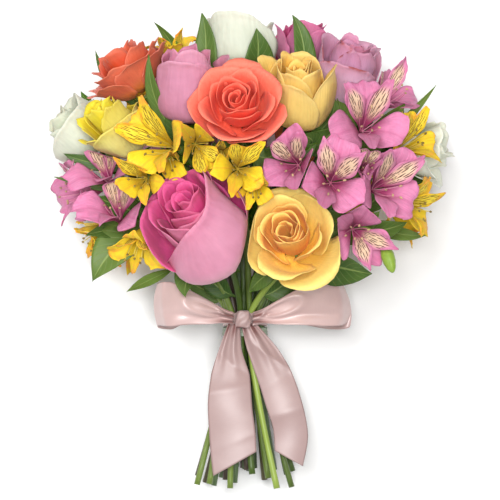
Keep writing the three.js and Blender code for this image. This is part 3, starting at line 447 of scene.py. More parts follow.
def petal_shade():
    """Velvety petal: darker towards the heart and foot, a pale rim, and fine veins along it."""
    inputs = {"Heart": "#C03020", "Face": "#F07050", "Rim": "#FF9070", "Foot": "#F0A060", "Spots": 0.0}
    given, place, across, along, depth, chance = shade_group("Petal shade", inputs)
    veins = noise(stretched((across, 7.0), (along, 1.3), (chance, 40.0)), 2.2, 3.0)
    clouds = noise(place, 70.0, 2.0)
    shade = tint(step(depth, 0.0, 0.75), given["Heart"], given["Face"])
    shade = tint(step(along, 0.12, 0.6), given["Foot"], shade)
    rim = calc("MAXIMUM", step(along, 0.72, 1.0), step(calc("ABSOLUTE", across), 0.8, 1.1))
    shade = tint(times(rim, 0.45), shade, given["Rim"])
    spots = times(step(noise(place, 90.0, 3.0), 0.5, 0.66), given["Spots"], step(along, 0.9, 1.0))
    shade = tint(spots, shade, colour("#8E3A34"))
    shade = brightened(shade, varied(1.0, (chance, 0.14), (veins, 0.2), (clouds, 0.22)))
    roughness = calc("MULTIPLY_ADD", clouds, 0.14, 0.46)
    relief = calc("MULTIPLY_ADD", clouds, 2.0, times(veins, 0.6))
    return close_group(shade, roughness, relief, 0.0013)


PETAL_SHADE = petal_shade()


def petal_finish(name, codes, spots=0.0):
    values = dict(zip(("Heart", "Face", "Rim", "Foot"), codes), Spots=spots)
    return finish_from(
        PETAL_SHADE, name, values,
        Subsurface_Weight=0.25, Subsurface_Radius=(1.0, 0.6, 0.5), Subsurface_Scale=0.004,
        Specular_IOR_Level=0.15, Sheen_Weight=0.05, Sheen_Roughness=0.5,
    )


petal_finishes = {
    name: (petal_finish(name + " petal outside", outside, SPOTTED.get(name, 0.0)),
           petal_finish(name + " petal inside", inside))
    for name, (outside, inside) in PETAL_COLOURS.items()
}


def petal_line(line, length, roll_from, turn):
    """How far out and up a petal is at shares of its length. Past roll_from its rim rolls back."""
    line = np.array(line, float)
    near, at = bezier(line, [roll_from - 0.02, roll_from])
    ahead = (at - near) / 0.02
    speed = np.linalg.norm(ahead)
    ahead /= speed
    aside = np.array([ahead[1], -ahead[0]])
    rolled = turn * np.maximum(length - roll_from, 0) / (1 - roll_from)
    bend = (1 - roll_from) * speed / turn
    points = bezier(line, np.minimum(length, roll_from))
    points = points + (bend * np.sin(rolled))[:, None] * ahead
    return (points + (bend * (1 - np.cos(rolled)))[:, None] * aside).T


def turned(out, turn, up):
    """Points that far out from an axis and up along it, at those turns round it."""
    return np.stack([out * np.cos(turn), out * np.sin(turn), up], axis=1)


def heart_petal(share, angle, size, closed, chance):
    """One of the furled petals in the middle, from share 0 at the very centre to 1. In a closed rose they
    meet over the centre."""
    width, height = size
    uneven = math.sin(40 * chance)
    rim = mix(0.05, 0.33, share) * (1 + 0.16 * uneven)
    top = mix(0.86, 0.98, share) + 0.03 * uneven
    bulge = mix(0.02, 0.04, share) + closed * mix(0.06, 0.24, share)
    line = [[0.05, 0.05], [mix(0.1, 0.34, share), 0.3], [rim + bulge, 0.72], [rim * (1 - 0.3 * closed), top]]
    line = np.array(line) * size
    half = mix(2.1, 1.2, share) * (1 - 0.15 * uneven)

    def place(a, b):
        length = b * (1 - 0.2 * np.abs(a) ** 2.2 * b)
        out, up = petal_line(line, length, 0.9, 0.9 + 0.6 * share)
        wave = 0.026 * np.sin(4.5 * a + 20 * chance) + 0.005 * np.sin(9 * a + 50 * chance)
        out = out + width * 0.045 * a * b + width * wave * b**2
        up = up + height * (0.03 * np.sin(3.5 * a + 9 * chance) + 0.05 * uneven * a) * b**3
        up = up + height * 0.012 * np.sin(8 * a + 31 * chance) * b**4
        return turned(out, angle + a * half * np.clip(4 * b, 0.35, 1), up)

    return place


def petal_from(line, angle, half, size, depth, roll, phase, ruffled=1.0, corners=0.34, curled=1.0):
    """A petal of the outer layers along a line of reach and rise in mm."""
    width, height = size
    tip = 0.012 + 0.014 * math.sin(5 * phase)

    def place(a, b):
        wide = np.abs(a)
        length = b * (1 - corners * wide**2.8 * b + tip * bell(a, 0, 0.22) * b**7)
        turn = roll * (0.7 + 0.6 * wide**1.5)
        out, up = petal_line(line, np.minimum(length, 1.03), mix(0.92, 0.86, depth), turn)
        widen = np.clip(4 * b, 0.35, 1) * (1 - 0.12 * ease(b, 0.7, 1))
        curl = curled * ease(wide, 0.6, 1.1) * ease(b, 0.3, 0.9) * mix(0.3, 1, depth)
        wave = np.sin(3.1 * a + phase) * b**3
        ruffle = ruffled * (np.sin(8.5 * a + 2.3 * phase) + 0.6 * np.sin(15 * a + 3.1 * phase)) * b**4
        crease = np.sin(5 * a + 4 * phase + 2 * b) * b**2 * (1 - 0.5 * b)
        out = out + width * (0.06 * a * widen + 0.06 * curl + 0.02 * wave + 0.008 * ruffle + 0.012 * crease)
        up = up + height * (0.026 * wave - 0.02 * curl + 0.01 * ruffle)
        return turned(out, angle + a * half * widen, up)

    return place


def outer_petal(depth, angle, size, openness, closed, draws, ruffled):
    """One of the petals round the heart, from depth 0 inside to 1 outside."""
    width, height = size
    lean, roll, swing, phase = draws
    rim = width * mix(0.33, mix(0.6, 0.97, openness), depth**1.1) * (1 + 0.05 * lean)
    top = height * (mix(0.98, 1 - 0.42 * openness, depth**1.2) + 0.015 * swing - 0.15 * closed)
    tilt = mix(0.08, mix(-0.35, 1.3, openness), depth**0.8) + 0.12 * lean * depth
    straight = width * mix(0.25, 0.42, depth)
    foot = height * mix(0.3, 0.05, depth)
    belly = width * mix(0.4, mix(1.0, 0.6, openness), depth)
    shoulder = [rim - straight * math.sin(tilt), top - straight * math.cos(tilt)]
    line = [[0.1 * width, foot], [belly, foot], shoulder, [rim, top]]
    loose = mix(0.3, 1, min(1, openness / 0.5))
    roll_turn = mix(0.7, 1.5, depth) * (1 + 0.3 * roll) * loose
    half = mix(1.1, mix(1.5, 0.95, openness), depth) * (1 + 0.08 * swing)
    return petal_from(line, angle + 0.12 * swing, half, size, depth, roll_turn, phase, ruffled, curled=loose)


def guard_petal(shape, size):
    """A petal that shows more than the others, set one by one."""
    width, height = size
    angle, half, rims, tops, tilt, bellies = shape
    rims, tops, bellies = (np.broadcast_to(shares, 3) for shares in (rims, tops, bellies))
    rim, top, foot = rims[1] * width, tops[1] * height, 0.04 * height
    shoulder = [rim - 0.42 * width * math.sin(tilt), top - 0.42 * width * math.cos(tilt)]
    line = [[0.1 * width, foot], [bellies[1] * width, foot], shoulder, [rim, top]]
    level = petal_from(line, angle, half, size, depth=1.0, roll=1.0, phase=2.0, corners=0.16)

    def place(a, b):
        points = level(a, b)
        reach, rise, full = (np.interp(a, [-1, 0, 1], shares) for shares in (rims, tops, bellies))
        round_off = np.abs(a) ** 0.6
        points[:, :2] *= (1 + (reach / rims[1] - 1) * round_off * b)[:, None]
        points[:, :2] *= (1 + (full / bellies[1] - 1) * round_off * np.sin(math.pi * b))[:, None]
        points[:, 2] += height * (rise - tops[1]) * round_off * b
        return points

    return place


def set_petal(bloom, seat, petal, grid, draw, depth, lean=(0, 0, 0)):
    """Bends a petal into its bloom. Its tip may lean with the heart."""
    at, axes, foot = seat

    def place(a, b):
        return pressed(at, petal(a, b) @ axes + foot + np.outer(b, lean))

    bend_grid(bloom, grid, place, draw, depth)


chances = np.random.default_rng(7)
for name, at, face, radius, height, openness, outer_petals, first_turn, palette in ROSES:
    bloom = start_mesh()
    axes = frame_of(face, ROSE_HEAD)
    seat = (at, axes, np.array(at, float) - axes[2] * height / 2)
    size = (radius, height)
    lean = np.array(HEART_LEAN.get(name, [0, 0, 0]), float)
    closed = max(0, 1 - openness / CLOSED)
    heart_petals = round(mix(*HEART_PETALS, closed))
    for k in range(heart_petals):
        chance = chances.random()
        turn = first_turn + k * GOLDEN + 0.6 * (chance - 0.5)
        petal = heart_petal((k + 0.5) / heart_petals, turn, size, closed, chance)
        set_petal(bloom, seat, petal, HEART_GRID, chance, 0.0, lean)
    guards = GUARD_PETALS.get(name, [])
    for k in range(outer_petals):
        depth = 1 - (1 - k / (outer_petals - 1)) ** 1.5
        turn = first_turn + k * GOLDEN
        if any(math.cos(turn - guard[0]) > math.cos(0.8 * guard[1]) for guard in guards):
            depth = min(depth, TUCKED)
        draws = (*chances.uniform(-1, 1, 3), chances.uniform(0, 2 * math.pi))
        petal = outer_petal(depth, turn, size, openness, closed, draws, RUFFLED.get(name, 1.0))
        set_petal(bloom, seat, petal, OUTER_GRID, chances.random(), depth, lean * (1 - depth))
    for shape in guards:
        set_petal(bloom, seat, guard_petal(shape, size), GUARD_GRID, 0.6, 1.0)
    slot, node = name.split("_")[0] + "_rose", "rose_" + name
    finish_piece(node + "_petals", bloom, petal_finishes[palette], node, ROSE_PETAL)


# Alstroemerias
# Each flower is six petals on a green ovary: three broad ones outside and three narrow ones inside, of
# which the upper two carry a pale patch with dark dashes. Six stamens bend out of the throat.

TEPAL_LINES = [
    # reach out from the axis and rise along it, of a broad petal and of a narrow one
    ([0.4, 3, 14, 31], [-30, -12, 4, 0]),
    ([0.3, 2.4, 11, 26], [-30, -12, 6, 11]),
]
TEPAL_BENDS = [(0.1, 1.7, 1.1, 2.6), (0.3, 0.7, 0.5, 0.6)]  # taper, curl, wave and dip of their ends
TEPAL_GRIDS = [(16, 20), (10, 20)]
TEPAL_TURNS = [90, 120, 204, 270, 336, 60]  # degrees round the flower, a broad and a narrow one by turns
TEPAL_MARKS = [0.0, 1.0, 0.0, 0.5, 0.0, 1.0]  # those at 1 carry the dashes
TEPAL_SHAPES = {
    # half width of a broad and of a narrow petal, how blunt a broad one is, how deep its notch
    "pink": (13.8, 6.9, 2.4, 0.04),
    "yellow": (10.8, 6.0, 2.0, 0.0),
}
TEPAL = 0.35  # thickness
NECK_RISE = -28  # from the throat to the top of the stalk
STALK = 1.3  # radius
OVARY = (2.6, 2.9, 1.8)  # radii of the green swelling at the top of the stalk
FILAMENT = [0.42] * 7 + [0.2]  # radii along the thread of a stamen
ANTHER = [0, 0.55, 0.85, 0.9, 0.8, 0.5, 0]  # and along its head
# Shares of a bud's length, and how far along the knob where the stalks part, with the radii there
BUD = ([0.0, 0.08, 0.25, 0.45, 0.65, 0.85, 0.96, 1.0], [0.2, 2.2, 3.7, 4.6, 4.3, 3.0, 1.4, 0.0])
KNOB = ([0, 0.4, 3, 6, 6.2], [0, 2.8, 3.1, 2.7, 0])


def tube(mesh, line, radii, sides, draw=0.5, depth=0.0, finish=0):
    """A closed tube along a line of points, with its radius at each."""
    line, radii = np.asarray(line, float), np.asarray(radii, float)
    along = unit(np.gradient(line, axis=0))
    side = np.array([0.0, 0.0, 1.0])
    if abs(along[-1] @ side) > 0.9:
        side = np.array([1.0, 0.0, 0.0])
    first, second = np.empty_like(line), np.empty_like(line)
    for i in reversed(range(len(line))):
        side = unit(side - along[i] * (side @ along[i]))
        first[i], second[i] = side, np.cross(along[i], side)

    def place(a, b):
        row = np.rint(b * (len(line) - 1)).astype(int)
        turn = (a + 1) * math.pi
        ring = np.cos(turn)[:, None] * first[row] + np.sin(turn)[:, None] * second[row]
        return line[row] + ring * radii[row][:, None]

    bend_grid(mesh, (sides, len(line) - 1), place, draw, depth, finish)


def tepal_shade():
    """Thin petal with a deeper throat, a flush at the tip and, on the upper two inside, a dashed patch."""
    inputs = {"Face": "#DB7DB8", "Tip": "#C9609F", "Throat": "#B84A86", "Patch": "#F6E6A8",
              "Dashes": "#4E1626", "Flush": 0.3}
    given, place, across, along, mark, chance = shade_group("Streaked petal shade", inputs)
    wide = calc("ABSOLUTE", across)
    veins = noise(stretched((across, 11.0), (along, 1.5), (chance, 40.0)), 2.4, 3.0)
    clouds = noise(place, 150.0, 4.0)
    shade = tint(step(along, 0.3, 0.6), given["Throat"], given["Face"])
    tip = times(step(along, 0.5, 1.0), given["Flush"], step(clouds, 0.4, 0.62))
    shade = tint(tip, shade, given["Tip"])
    middle = times(fade(wide, 0.0, 0.14), 0.35, step(along, 0.2, 0.5))
    shade = tint(middle, shade, given["Tip"])
    upper = step(mark, 0.6, 0.9)
    patch = times(step(along, 0.3, 0.5), upper, fade(along, 0.74, 0.93), fade(wide, 0.3, 0.95))
    shade = tint(times(patch, 0.85), shade, given["Patch"])
    # Each dash is a long thin spot round the middle of a cell
    spot = stretched((across, 4.2), (along, 7.0), (chance, 17.0))
    cell = shader_node("TexVoronoi", {"Vector": spot, "Scale": 1.0, "Randomness": 0.8}, "Position")
    away = shader_node("VectorMath", {0: spot, 1: cell}, operation="SUBTRACT")
    away = shader_node("VectorMath", {0: away, 1: (1.9, 0.72, 0.0)}, operation="MULTIPLY")
    away = shader_node("VectorMath", {0: away}, "Value", operation="LENGTH")
    reach = times(step(along, 0.34, 0.42), upper, fade(along, 0.84, 0.9), fade(wide, 0.72, 0.85))
    shade = tint(times(fade(away, 0.26, 0.4), reach), shade, given["Dashes"])
    shade = brightened(shade, varied(1.05, (chance, 0.2), (veins, 0.5), (clouds, 0.6)))
    return close_group(shade, calc("MULTIPLY_ADD", clouds, 0.14, 0.38), calc("ADD", veins, clouds), 0.0012)


def tepal_finish(name, codes, flush):
    values = dict(zip(("Face", "Tip", "Throat", "Patch", "Dashes"), codes), Flush=flush)
    return finish_from(
        TEPAL_SHADE, name, values,
        Subsurface_Weight=0.12, Subsurface_Radius=(1.0, 0.6, 0.6), Subsurface_Scale=0.002,
        Specular_IOR_Level=0.18, Sheen_Weight=0.05,
    )


def green_shade():
    """Stem and stalk green: two greens mixed by chance, with long streaks and, where marked, a pale end."""
    inputs = {"Light": "#9AC650", "Dark": "#4E7F34", "Cut": "#CFE0A0"}
    given, _, across, along, mark, chance = shade_group("Stem shade", inputs)
    streaks = noise(stretched((across, 3.0), (along, 7.0), (chance, 30.0)), 2.0, 4.0)
    shade = tint(varied(chance, (streaks, 0.9)), given["Dark"], given["Light"])
    shade = tint(times(fade(along, 0.0, 0.012), mark), shade, given["Cut"])
    return close_group(shade, calc("MULTIPLY_ADD", streaks, 0.2, 0.34), streaks, 0.0006)


def stamen_finish(name, light, dark):
    return finish_from(GREEN_SHADE, name, {"Light": light, "Dark": dark, "Cut": light})


TEPAL_SHADE = tepal_shade()
GREEN_SHADE = green_shade()
TEPAL_COLOURS = {
    # face, tip, throat, patch and dashes, and how much the tips are flushed
    "pink": (["#CE80A4", "#B4567E", "#A23E6A", "#E6CEA6", "#461626"], 0.6),
    "yellow": (["#EAC82A", "#F09038", "#C8A416", "#EAD442", "#70481A"], 1.0),
}
tepal_finishes = {
    name: (tepal_finish(name + " alstroemeria back", codes, flush),
           tepal_finish(name + " alstroemeria face", codes, flush * 0.75))
    for name, (codes, flush) in TEPAL_COLOURS.items()
}
stalk_finish = finish_from(GREEN_SHADE, "alstroemeria stalk", {"Light": "#84A03A", "Dark": "#56782A"},
                           Specular_IOR_Level=0.4)
stamen_finishes = {
    "pink": [stamen_finish("pink filaments", "#E8A6BE", "#C9708F"),
             stamen_finish("pink anthers", "#C8A67E", "#94705A")],
    "yellow": [stamen_finish("yellow filaments", "#E6D66A", "#CDB23A"),
               stamen_finish("yellow anthers", "#9A8438", "#6A5420")],
}


def stalk_line(start, heading, end, along, t):
    """A stalk leaves the knob of its spray one way and comes to its flower another."""
    return bezier([start, start + 8 * heading, end - 14 * along, end], t)


def alstroemeria(petals, mesh, flower, hue, start, heading):
    """A flower's petals, and its stalk and stamens."""
    at, face, up, size = flower
    axes = frame_of(face, up)

    def settle(local):
        return pressed(at, local * size @ axes + at)

    def tepal(k, phase):
        reach, rise = TEPAL_LINES[k % 2]
        taper, curled, waved, dipped = TEPAL_BENDS[k % 2]
        half = TEPAL_SHAPES[hue][k % 2]
        blunt, notch = (1.7, 0.0) if k % 2 else TEPAL_SHAPES[hue][2:]
        stretch, droop, swing, twist = chances.uniform(-1, 1, 4)
        angle = math.radians(TEPAL_TURNS[k]) + 0.1 * swing
        x, y = math.cos(angle), math.sin(angle)

        def place(a, b):
            wide = np.abs(a)
            length = b * (1 - 0.25 * wide**blunt * b**2 - 0.03 * np.sin(7 * a + 3 * phase) * b**4)
            length = length - notch * bell(wide, 0.22, 0.16) * b**6
            out = bezier(reach, length) * (1 + 0.08 * stretch)
            body = mix(0.07, 1, ease(b, 0.1, 0.72)) * (1 - taper * ease(b, 0.72, 1))
            across = a * half * body
            curl = np.sin(3.4 * a + phase) * b**3 + 0.45 * np.sin(9 * a + 2 * phase) * b**4
            hem = np.sin(15 * b + 2 * phase + a) * wide**2 * b**2
            crinkle = np.sin(12 * a + 3 * np.sin(6 * b + phase)) * np.sin(9 * b + 4 * phase) * b**1.5
            lift = bezier(rise, length) + 0.22 * across**2 / half + curled * curl
            lift = lift + waved * hem + 0.4 * crinkle
            lift = lift - dipped * ease(b, 0.72, 1) + (3 + 5 * droop) * b**2
            lift = lift + 0.34 * twist * across * b
            return settle(np.stack([out * x - across * y, out * y + across * x, lift], axis=1))

        return place

    for k in (0, 2, 4, 1, 3, 5):
        chance = chances.random()
        bend_grid(petals, TEPAL_GRIDS[k % 2], tepal(k, 6.3 * chance), chance, TEPAL_MARKS[k])
    end = settle(np.array([[0, 0, NECK_RISE]], float))[0]
    t = np.linspace(0, 1, 16)
    line = stalk_line(start, heading, end, axes[2], t)
    swell = np.interp(t, [0, 0.7, 0.84, 0.94, 1], [STALK, STALK, *(radius * size for radius in OVARY)])
    tube(mesh, np.vstack([line, line[-1:] + 0.1]), np.append(swell, 0), 8, chances.random())
    for k in range(6):
        turn = k * math.pi / 3 + 0.5
        x, y = math.cos(turn), math.sin(turn)
        spread = chances.uniform(4, 8.5)
        tip = [spread * x, spread * y - 2.5, chances.uniform(5, 11)]
        bends = [[0.3, 0, -22], [0.8 * tip[0], 0.8 * tip[1], -10], [tip[0], tip[1], 2], tip]
        path = bezier(bends, np.linspace(0, 1, len(FILAMENT)))
        tube(mesh, settle(path), FILAMENT, 6, chances.random(), finish=1)
        pod = path[-1] + np.outer(np.linspace(-1.4, 1.4, len(ANTHER)), unit([x, y, 0.6]))
        tube(mesh, settle(pod), ANTHER, 8, chances.random(), finish=2)


def alstroemeria_bud(mesh, bud, start, heading):
    """A closed bud on its stalk."""
    tip, foot, size = bud
    tip, foot = np.array(tip, float), np.array(foot, float)
    line = stalk_line(start, heading, foot, unit(tip - foot), np.linspace(0, 1, 14))
    tube(mesh, line, [STALK] * len(line), 8, chances.random())
    tube(mesh, foot + np.outer(BUD[0], tip - foot), np.array(BUD[1]) * size, 14, 0.9)


for name, hue, fork, flowers, buds in SPRAYS:
    petals, stalks = start_mesh(), start_mesh()
    fork = np.array(fork, float)
    heading = unit(fork)
    tube(stalks, fork + np.outer(KNOB[0], heading), KNOB[1], 10)
    for i, flower in enumerate(flowers + buds):
        lean = np.array(flower[0], float) - fork
        lean = unit(lean - heading * (lean @ heading))
        # Each stalk leaves the knob a little further up than the last
        order = i if i < len(flowers) else i - len(flowers) + 4
        start = fork + heading * (1.3 + 0.4 * order) + lean * 1.1
        if i < len(flowers):
            alstroemeria(petals, stalks, flower, hue, start, heading)
        else:
            alstroemeria_bud(stalks, flower, start, heading)
    slot, node = hue + "_alstroemeria", "flowers_" + name
    finish_piece(node + "_petals", petals, tepal_finishes[hue], node, TEPAL)
    finish_piece(node + "_stalks", stalks, [stalk_finish] + stamen_finishes[hue], node)


# Stems and leaves
# Cut stems run from a spiral at their feet through the tight waist to their flowers. A rose's stem ends
# in a green cup with five sepals. Leaves sit on the stems just below the blooms.

PLANTS = {"rose": "rose", "spray": "alstroemeria"}
STEM_RADIUS = {"rose": 2.45, "spray": 2.3}
WAIST_RINGS = [(3, 3.1), (8, 8.3), (13, 13.4)]  # how many stems stand at each radius at the waist
WAIST_RUN = (32, 24)  # how far a stem keeps straight below the waist and above it
BLOOM_RUN = 26  # and below its bloom
FOOT_SPREAD = (2.9, 2.2)  # how much wider apart the feet stand than at the waist, sideways and in depth
FOOT_TWIST = math.radians(24)
FOOT_HEIGHT, FOOT_UNEVEN = -122, 7
TOUCHING = 0.3  # room left where pieces meet
CUP = ([6.5, 5.2, 3.6, 2, 0.4, 0], [2.45, 3.6, 5.2, 5.8, 5.2, 0])  # how far below a rose, and the radii
BETWEEN_TAILS = 22  # how far to the right the tails of the ribbon part
LEAF = 0.45  # thickness
FILLERS = 3  # small leaves on each stem, deep among the heads
LEAVES = {
    # of each stem: how far up it, tip, the point it bows towards, half width, the way it faces if set
    "rose_mauve_top": [(0.8, [-74, 209, 64], [-76, 166, 58], 7), (0.86, [-34, 245, 22], [-24, 212, 22], 11),
                       (0.8, [-62, 168, 50], [-48, 142, 40], 11)],
    "rose_white_top": [(0.84, [9, 231, 44], [14, 196, 40], 15), (0.8, [-26, 234, -34], [-18, 196, -18], 11)],
    "rose_peach_top": [(0.84, [37, 243, 30], [56, 214, 34], 10), (0.8, [44, 148, 50], [64, 142, 42], 10),
                       (0.82, [68, 178, 44], [76, 158, 36], 8), (0.82, [72, 156, 50], [60, 138, 34], 12)],
    "rose_coral_left": [(0.84, [-118, 216, 18], [-112, 186, 14], 5)],
    "spray_yellow_top": [(0.84, [-72, 238, 24], [-36, 208, 6], 8)],
    "rose_yellow_left": [(0.86, [-142, 134, 34], [-122, 124, 34], 6),
                         (0.7, [-150, 116, 26], [-120, 108, 24], 4)],
    "spray_pink_left": [(0.88, [-119, 34, 42], [-100, 72, 48], 17), (0.82, [-124, 70, 46], [-96, 78, 30], 9),
                        (0.86, [-116, 100, 44], [-94, 90, 34], 11)],
    "rose_pink_front": [(0.82, [-46, 22, 56], [-50, 46, 40], 13), (0.82, [-88, 92, 44], [-60, 76, 34], 12),
                        (0.84, [-84, 118, 62], [-62, 96, 50], 11), (0.3, [-38, 50, 20], [-22, 24, 10], 10)],
    "rose_yellow_front": [(0.8, [98, 40, 60], [70, 46, 42], 16, [0, -0.5, 1]),
                          (0.76, [4, 26, 52], [8, 36, 30], 8), (0.84, [84, 84, 44], [58, 84, 30], 13),
                          (0.3, [42, 42, 20], [22, 22, 12], 10)],
    "spray_pink_right": [(0.86, [70, 147, 62], [62, 124, 30], 15), (0.84, [126, 80, 44], [104, 70, 26], 10),
                         (0.84, [104, 88, 58], [88, 74, 34], 12), (0.86, [92, 132, 54], [78, 108, 30], 11)],
    "spray_yellow_right": [(0.86, [142, 70, 30], [120, 68, 24], 6),
                           (0.84, [116, 122, 44], [112, 104, 20], 11)],
    "spray_pink_upper": [(0.86, [126, 174, 30], [108, 154, 14], 10),
                         (0.88, [150, 188, 30], [132, 164, 10], 4), (0.8, [72, 178, 36], [82, 152, 26], 12)],
    "rose_lilac_right": [(0.82, [60, 168, 52], [62, 158, 20], 8), (0.8, [106, 178, -10], [88, 150, -8], 11)],
    "rose_coral_back": [(0.8, [92, 190, -40], [84, 158, -24], 13), (0.2, [18, 50, -8], [12, 26, -14], 12)],
    "rose_mauve_back": [(0.8, [-100, 116, -58], [-78, 112, -34], 13),
                        (0.25, [-46, 36, 4], [-28, 18, -2], 11)],
    "rose_yellow_back": [(0.78, [40, 58, -60], [28, 58, -30], 13), (0.74, [-44, 56, -56], [-28, 56, -26], 12),
                         (0.3, [-14, 50, -4], [-8, 28, -12], 12)],
    "rose_white_left": [(0.82, [-132, 186, -18], [-116, 158, -14], 10)],
    "rose_white_right": [(0.82, [146, 110, 10], [120, 116, -6], 11), (0.84, [126, 176, 8], [112, 146, 0], 10),
                         (0.2, [52, 34, 4], [30, 16, 0], 11)],
    "rose_pink_top": [(0.84, [62, 226, -44], [46, 190, -34], 10), (0.8, [18, 212, -40], [26, 180, -34], 11)],
    "rose_coral_front": [(0.84, [26, 140, 56], [18, 118, 46], 10), (0.8, [-24, 142, 56], [-20, 116, 44], 10),
                         (0.8, [56, 142, 46], [36, 122, 38], 12)],
    "spray_yellow_left": [(0.86, [-92, 26, 44], [-78, 34, 26], 5)],
}


def lay_out_stems():
    """The line of every stem, below the waist and above it."""
    stems = []
    for name, at, face, _, height, *_ in ROSES:
        back = -unit(face)
        end = pressed(at, np.array([at + back * height / 2]))[0] + back * 2 * TOUCHING
        stems.append({"name": "rose_" + name, "end": end, "back": back})
    for name, _, fork, *_ in SPRAYS:
        back = -unit(fork)
        stems.append({"name": "spray_" + name, "end": fork + back * TOUCHING, "back": back})

    def bearing(stem):
        return math.atan2(stem["end"][2], stem["end"][0])

    left = sorted(stems, key=lambda s: math.hypot(s["end"][0], s["end"][2]) / s["end"][1])
    for count, radius in WAIST_RINGS:
        ring, left = sorted(left[:count], key=bearing), left[count:]
        turns = [bearing(stem) - 2 * math.pi * i / count for i, stem in enumerate(ring)]
        start = math.atan2(sum(map(math.sin, turns)), sum(map(math.cos, turns)))
        for i, stem in enumerate(ring):
            turn = start + 2 * math.pi * i / count
            stem["waist"] = np.array([radius * math.cos(turn), 0, radius * math.sin(turn)])
    for i, stem in enumerate(stems):
        waist, end = stem["waist"], stem["end"]
        x, _, z = waist
        height = FOOT_HEIGHT + FOOT_UNEVEN * math.sin(2.4 * i)
        reach = height / FOOT_HEIGHT
        turn = FOOT_TWIST * reach
        foot = np.array([
            mix(1, FOOT_SPREAD[0], reach) * (x * math.cos(turn) + z * math.sin(turn)),
            height,
            mix(1, FOOT_SPREAD[1], reach) * (z * math.cos(turn) - x * math.sin(turn)),
        ])
        stem["lower"] = [foot, waist - [0, WAIST_RUN[0], 0], waist]
        stem["upper"] = [waist, waist + [0, WAIST_RUN[1], 0], end + stem["back"] * BLOOM_RUN, end]
    return stems


def leaf_blade(stem, leaf, chance):
    """A leaf from its stem to its tip: folded a little along the midrib, with a waved edge."""
    up, tip, bow, half, *facing = leaf
    root = bezier(stem["upper"], np.array([up]))[0]
    tip, bow = np.array(tip, float), np.array(bow, float)
    default = [0.4 * np.sign(tip[0]), 0, -1 if tip[2] < -10 else 1]
    outward = unit(facing[0] if facing else default)

    def place(a, b):
        middle = bezier([root, bow, tip], b)
        along = unit((1 - b)[:, None] * (bow - root) + b[:, None] * (tip - bow))
        side = unit(np.cross(outward, along))
        face = np.cross(along, side)
        wide = 0.9 * (1 - b) + (half - 0.9) * np.sin(math.pi * np.maximum(0, (b - 0.16) / 0.84) ** 0.85)
        fold = 0.22 * np.abs(a) ** 1.4 * wide
        wave = 0.06 * half * np.sin(9 * b + 6 * chance) * a + 0.03 * half * np.sin(21 * b) * a**3
        return middle + side * (a * wide)[:, None] + face * (fold + wave)[:, None]

    return place


def filler_leaf(stem):
    """A small leaf among the heads: it leans out from the middle of the bunch, below the blooms."""
    up = chances.uniform(0.5, 0.82)
    root, ahead = bezier(stem["upper"], np.array([up, up + 0.02]))
    ahead = unit(ahead - root)
    turn = chances.uniform(-1.2, 1.2) + math.atan2(root[2], root[0])
    out = np.array([math.cos(turn), 0, math.sin(turn)])
    length = min(chances.uniform(30, 44), 1.15 * np.linalg.norm(stem["end"] - root))
    tip = root + length * unit(ahead + 0.45 * out)
    bow = root + 0.5 * length * unit(ahead + 0.9 * out)
    return up, tip, bow, chances.uniform(6, 9.5), out + [0, 0.3, 0]


def sepal(end, back, out):
    """A pointed sepal that folds back from the cup under a rose."""

    def place(a, b):
        wide = 3.1 * (1 - b**1.3) * (1 - 0.25 * b) + 0.15
        reach = 4.4 + 8.4 * np.sin(1.5 * b)
        drop = 1.2 + 3.6 * b**2 + 1.1 * a**2 * (1 - b)
        return end + reach[:, None] * out + drop[:, None] * back + (a * wide)[:, None] * np.cross(back, out)

    return place


def leaf_shade():
    """Waxy leaf: a pale midrib, side veins that slant from it and a lighter rim."""
    inputs = {"Light": "#4F701C", "Dark": "#244A10", "Rib": "#8CA05A"}
    given, place, across, along, _, chance = shade_group("Leaf shade", inputs)
    wide = calc("ABSOLUTE", across)
    clouds = noise(place, 60.0, 3.0)
    slant = calc("MULTIPLY_ADD", wide, -2.2, times(along, 11.0))
    veins = fade(calc("ABSOLUTE", calc("SINE", times(slant, math.pi))), 0.0, 0.3)
    rib = fade(wide, 0.02, 0.1)
    share = calc("MULTIPLY_ADD", wide, 0.15, varied(chance, (clouds, 0.8)))
    shade = tint(share, given["Dark"], given["Light"])
    shade = tint(times(veins, 0.22), shade, given["Rib"])
    shade = tint(times(rib, 0.65), shade, given["Rib"])
    relief = calc("SUBTRACT", clouds, calc("MULTIPLY_ADD", veins, 0.4, rib))
    return close_group(shade, calc("MULTIPLY_ADD", clouds, 0.16, 0.36), relief, 0.0004)


LEAF_SHADE = leaf_shade()
LEAF_COLOURS = {
    # light and dark green of the face, and of the back
    "rose": (("#46700C", "#1C420A"), ("#567034", "#345220")),
    "spray": (("#507A12", "#24500C"), ("#627A36", "#3E5A22")),
}
leaf_look = {"Specular_IOR_Level": 0.22, "Subsurface_Weight": 0.05, "Subsurface_Scale": 0.002}
leaf_finishes = {
    kind: [finish_from(LEAF_SHADE, f"{PLANTS[kind]} leaf {side}", {"Light": light, "Dark": dark}, **leaf_look)
           for side, (light, dark) in zip(("face", "back"), greens)]
    for kind, greens in LEAF_COLOURS.items()
}
STEM_COLOURS = [("#9CB04E", "#7A923C"), ("#6E8238", "#42561E"), ("#445A1E", "#1E320E"),
                ("#60583A", "#342F1C"), ("#5E744A", "#33462C"), ("#4C3E34", "#2C231B")]
stem_finishes = [
    finish_from(GREEN_SHADE, f"cut stem {i + 1}", {"Light": light, "Dark": dark}, Specular_IOR_Level=0.45)
    for i, (light, dark) in enumerate(STEM_COLOURS)
]

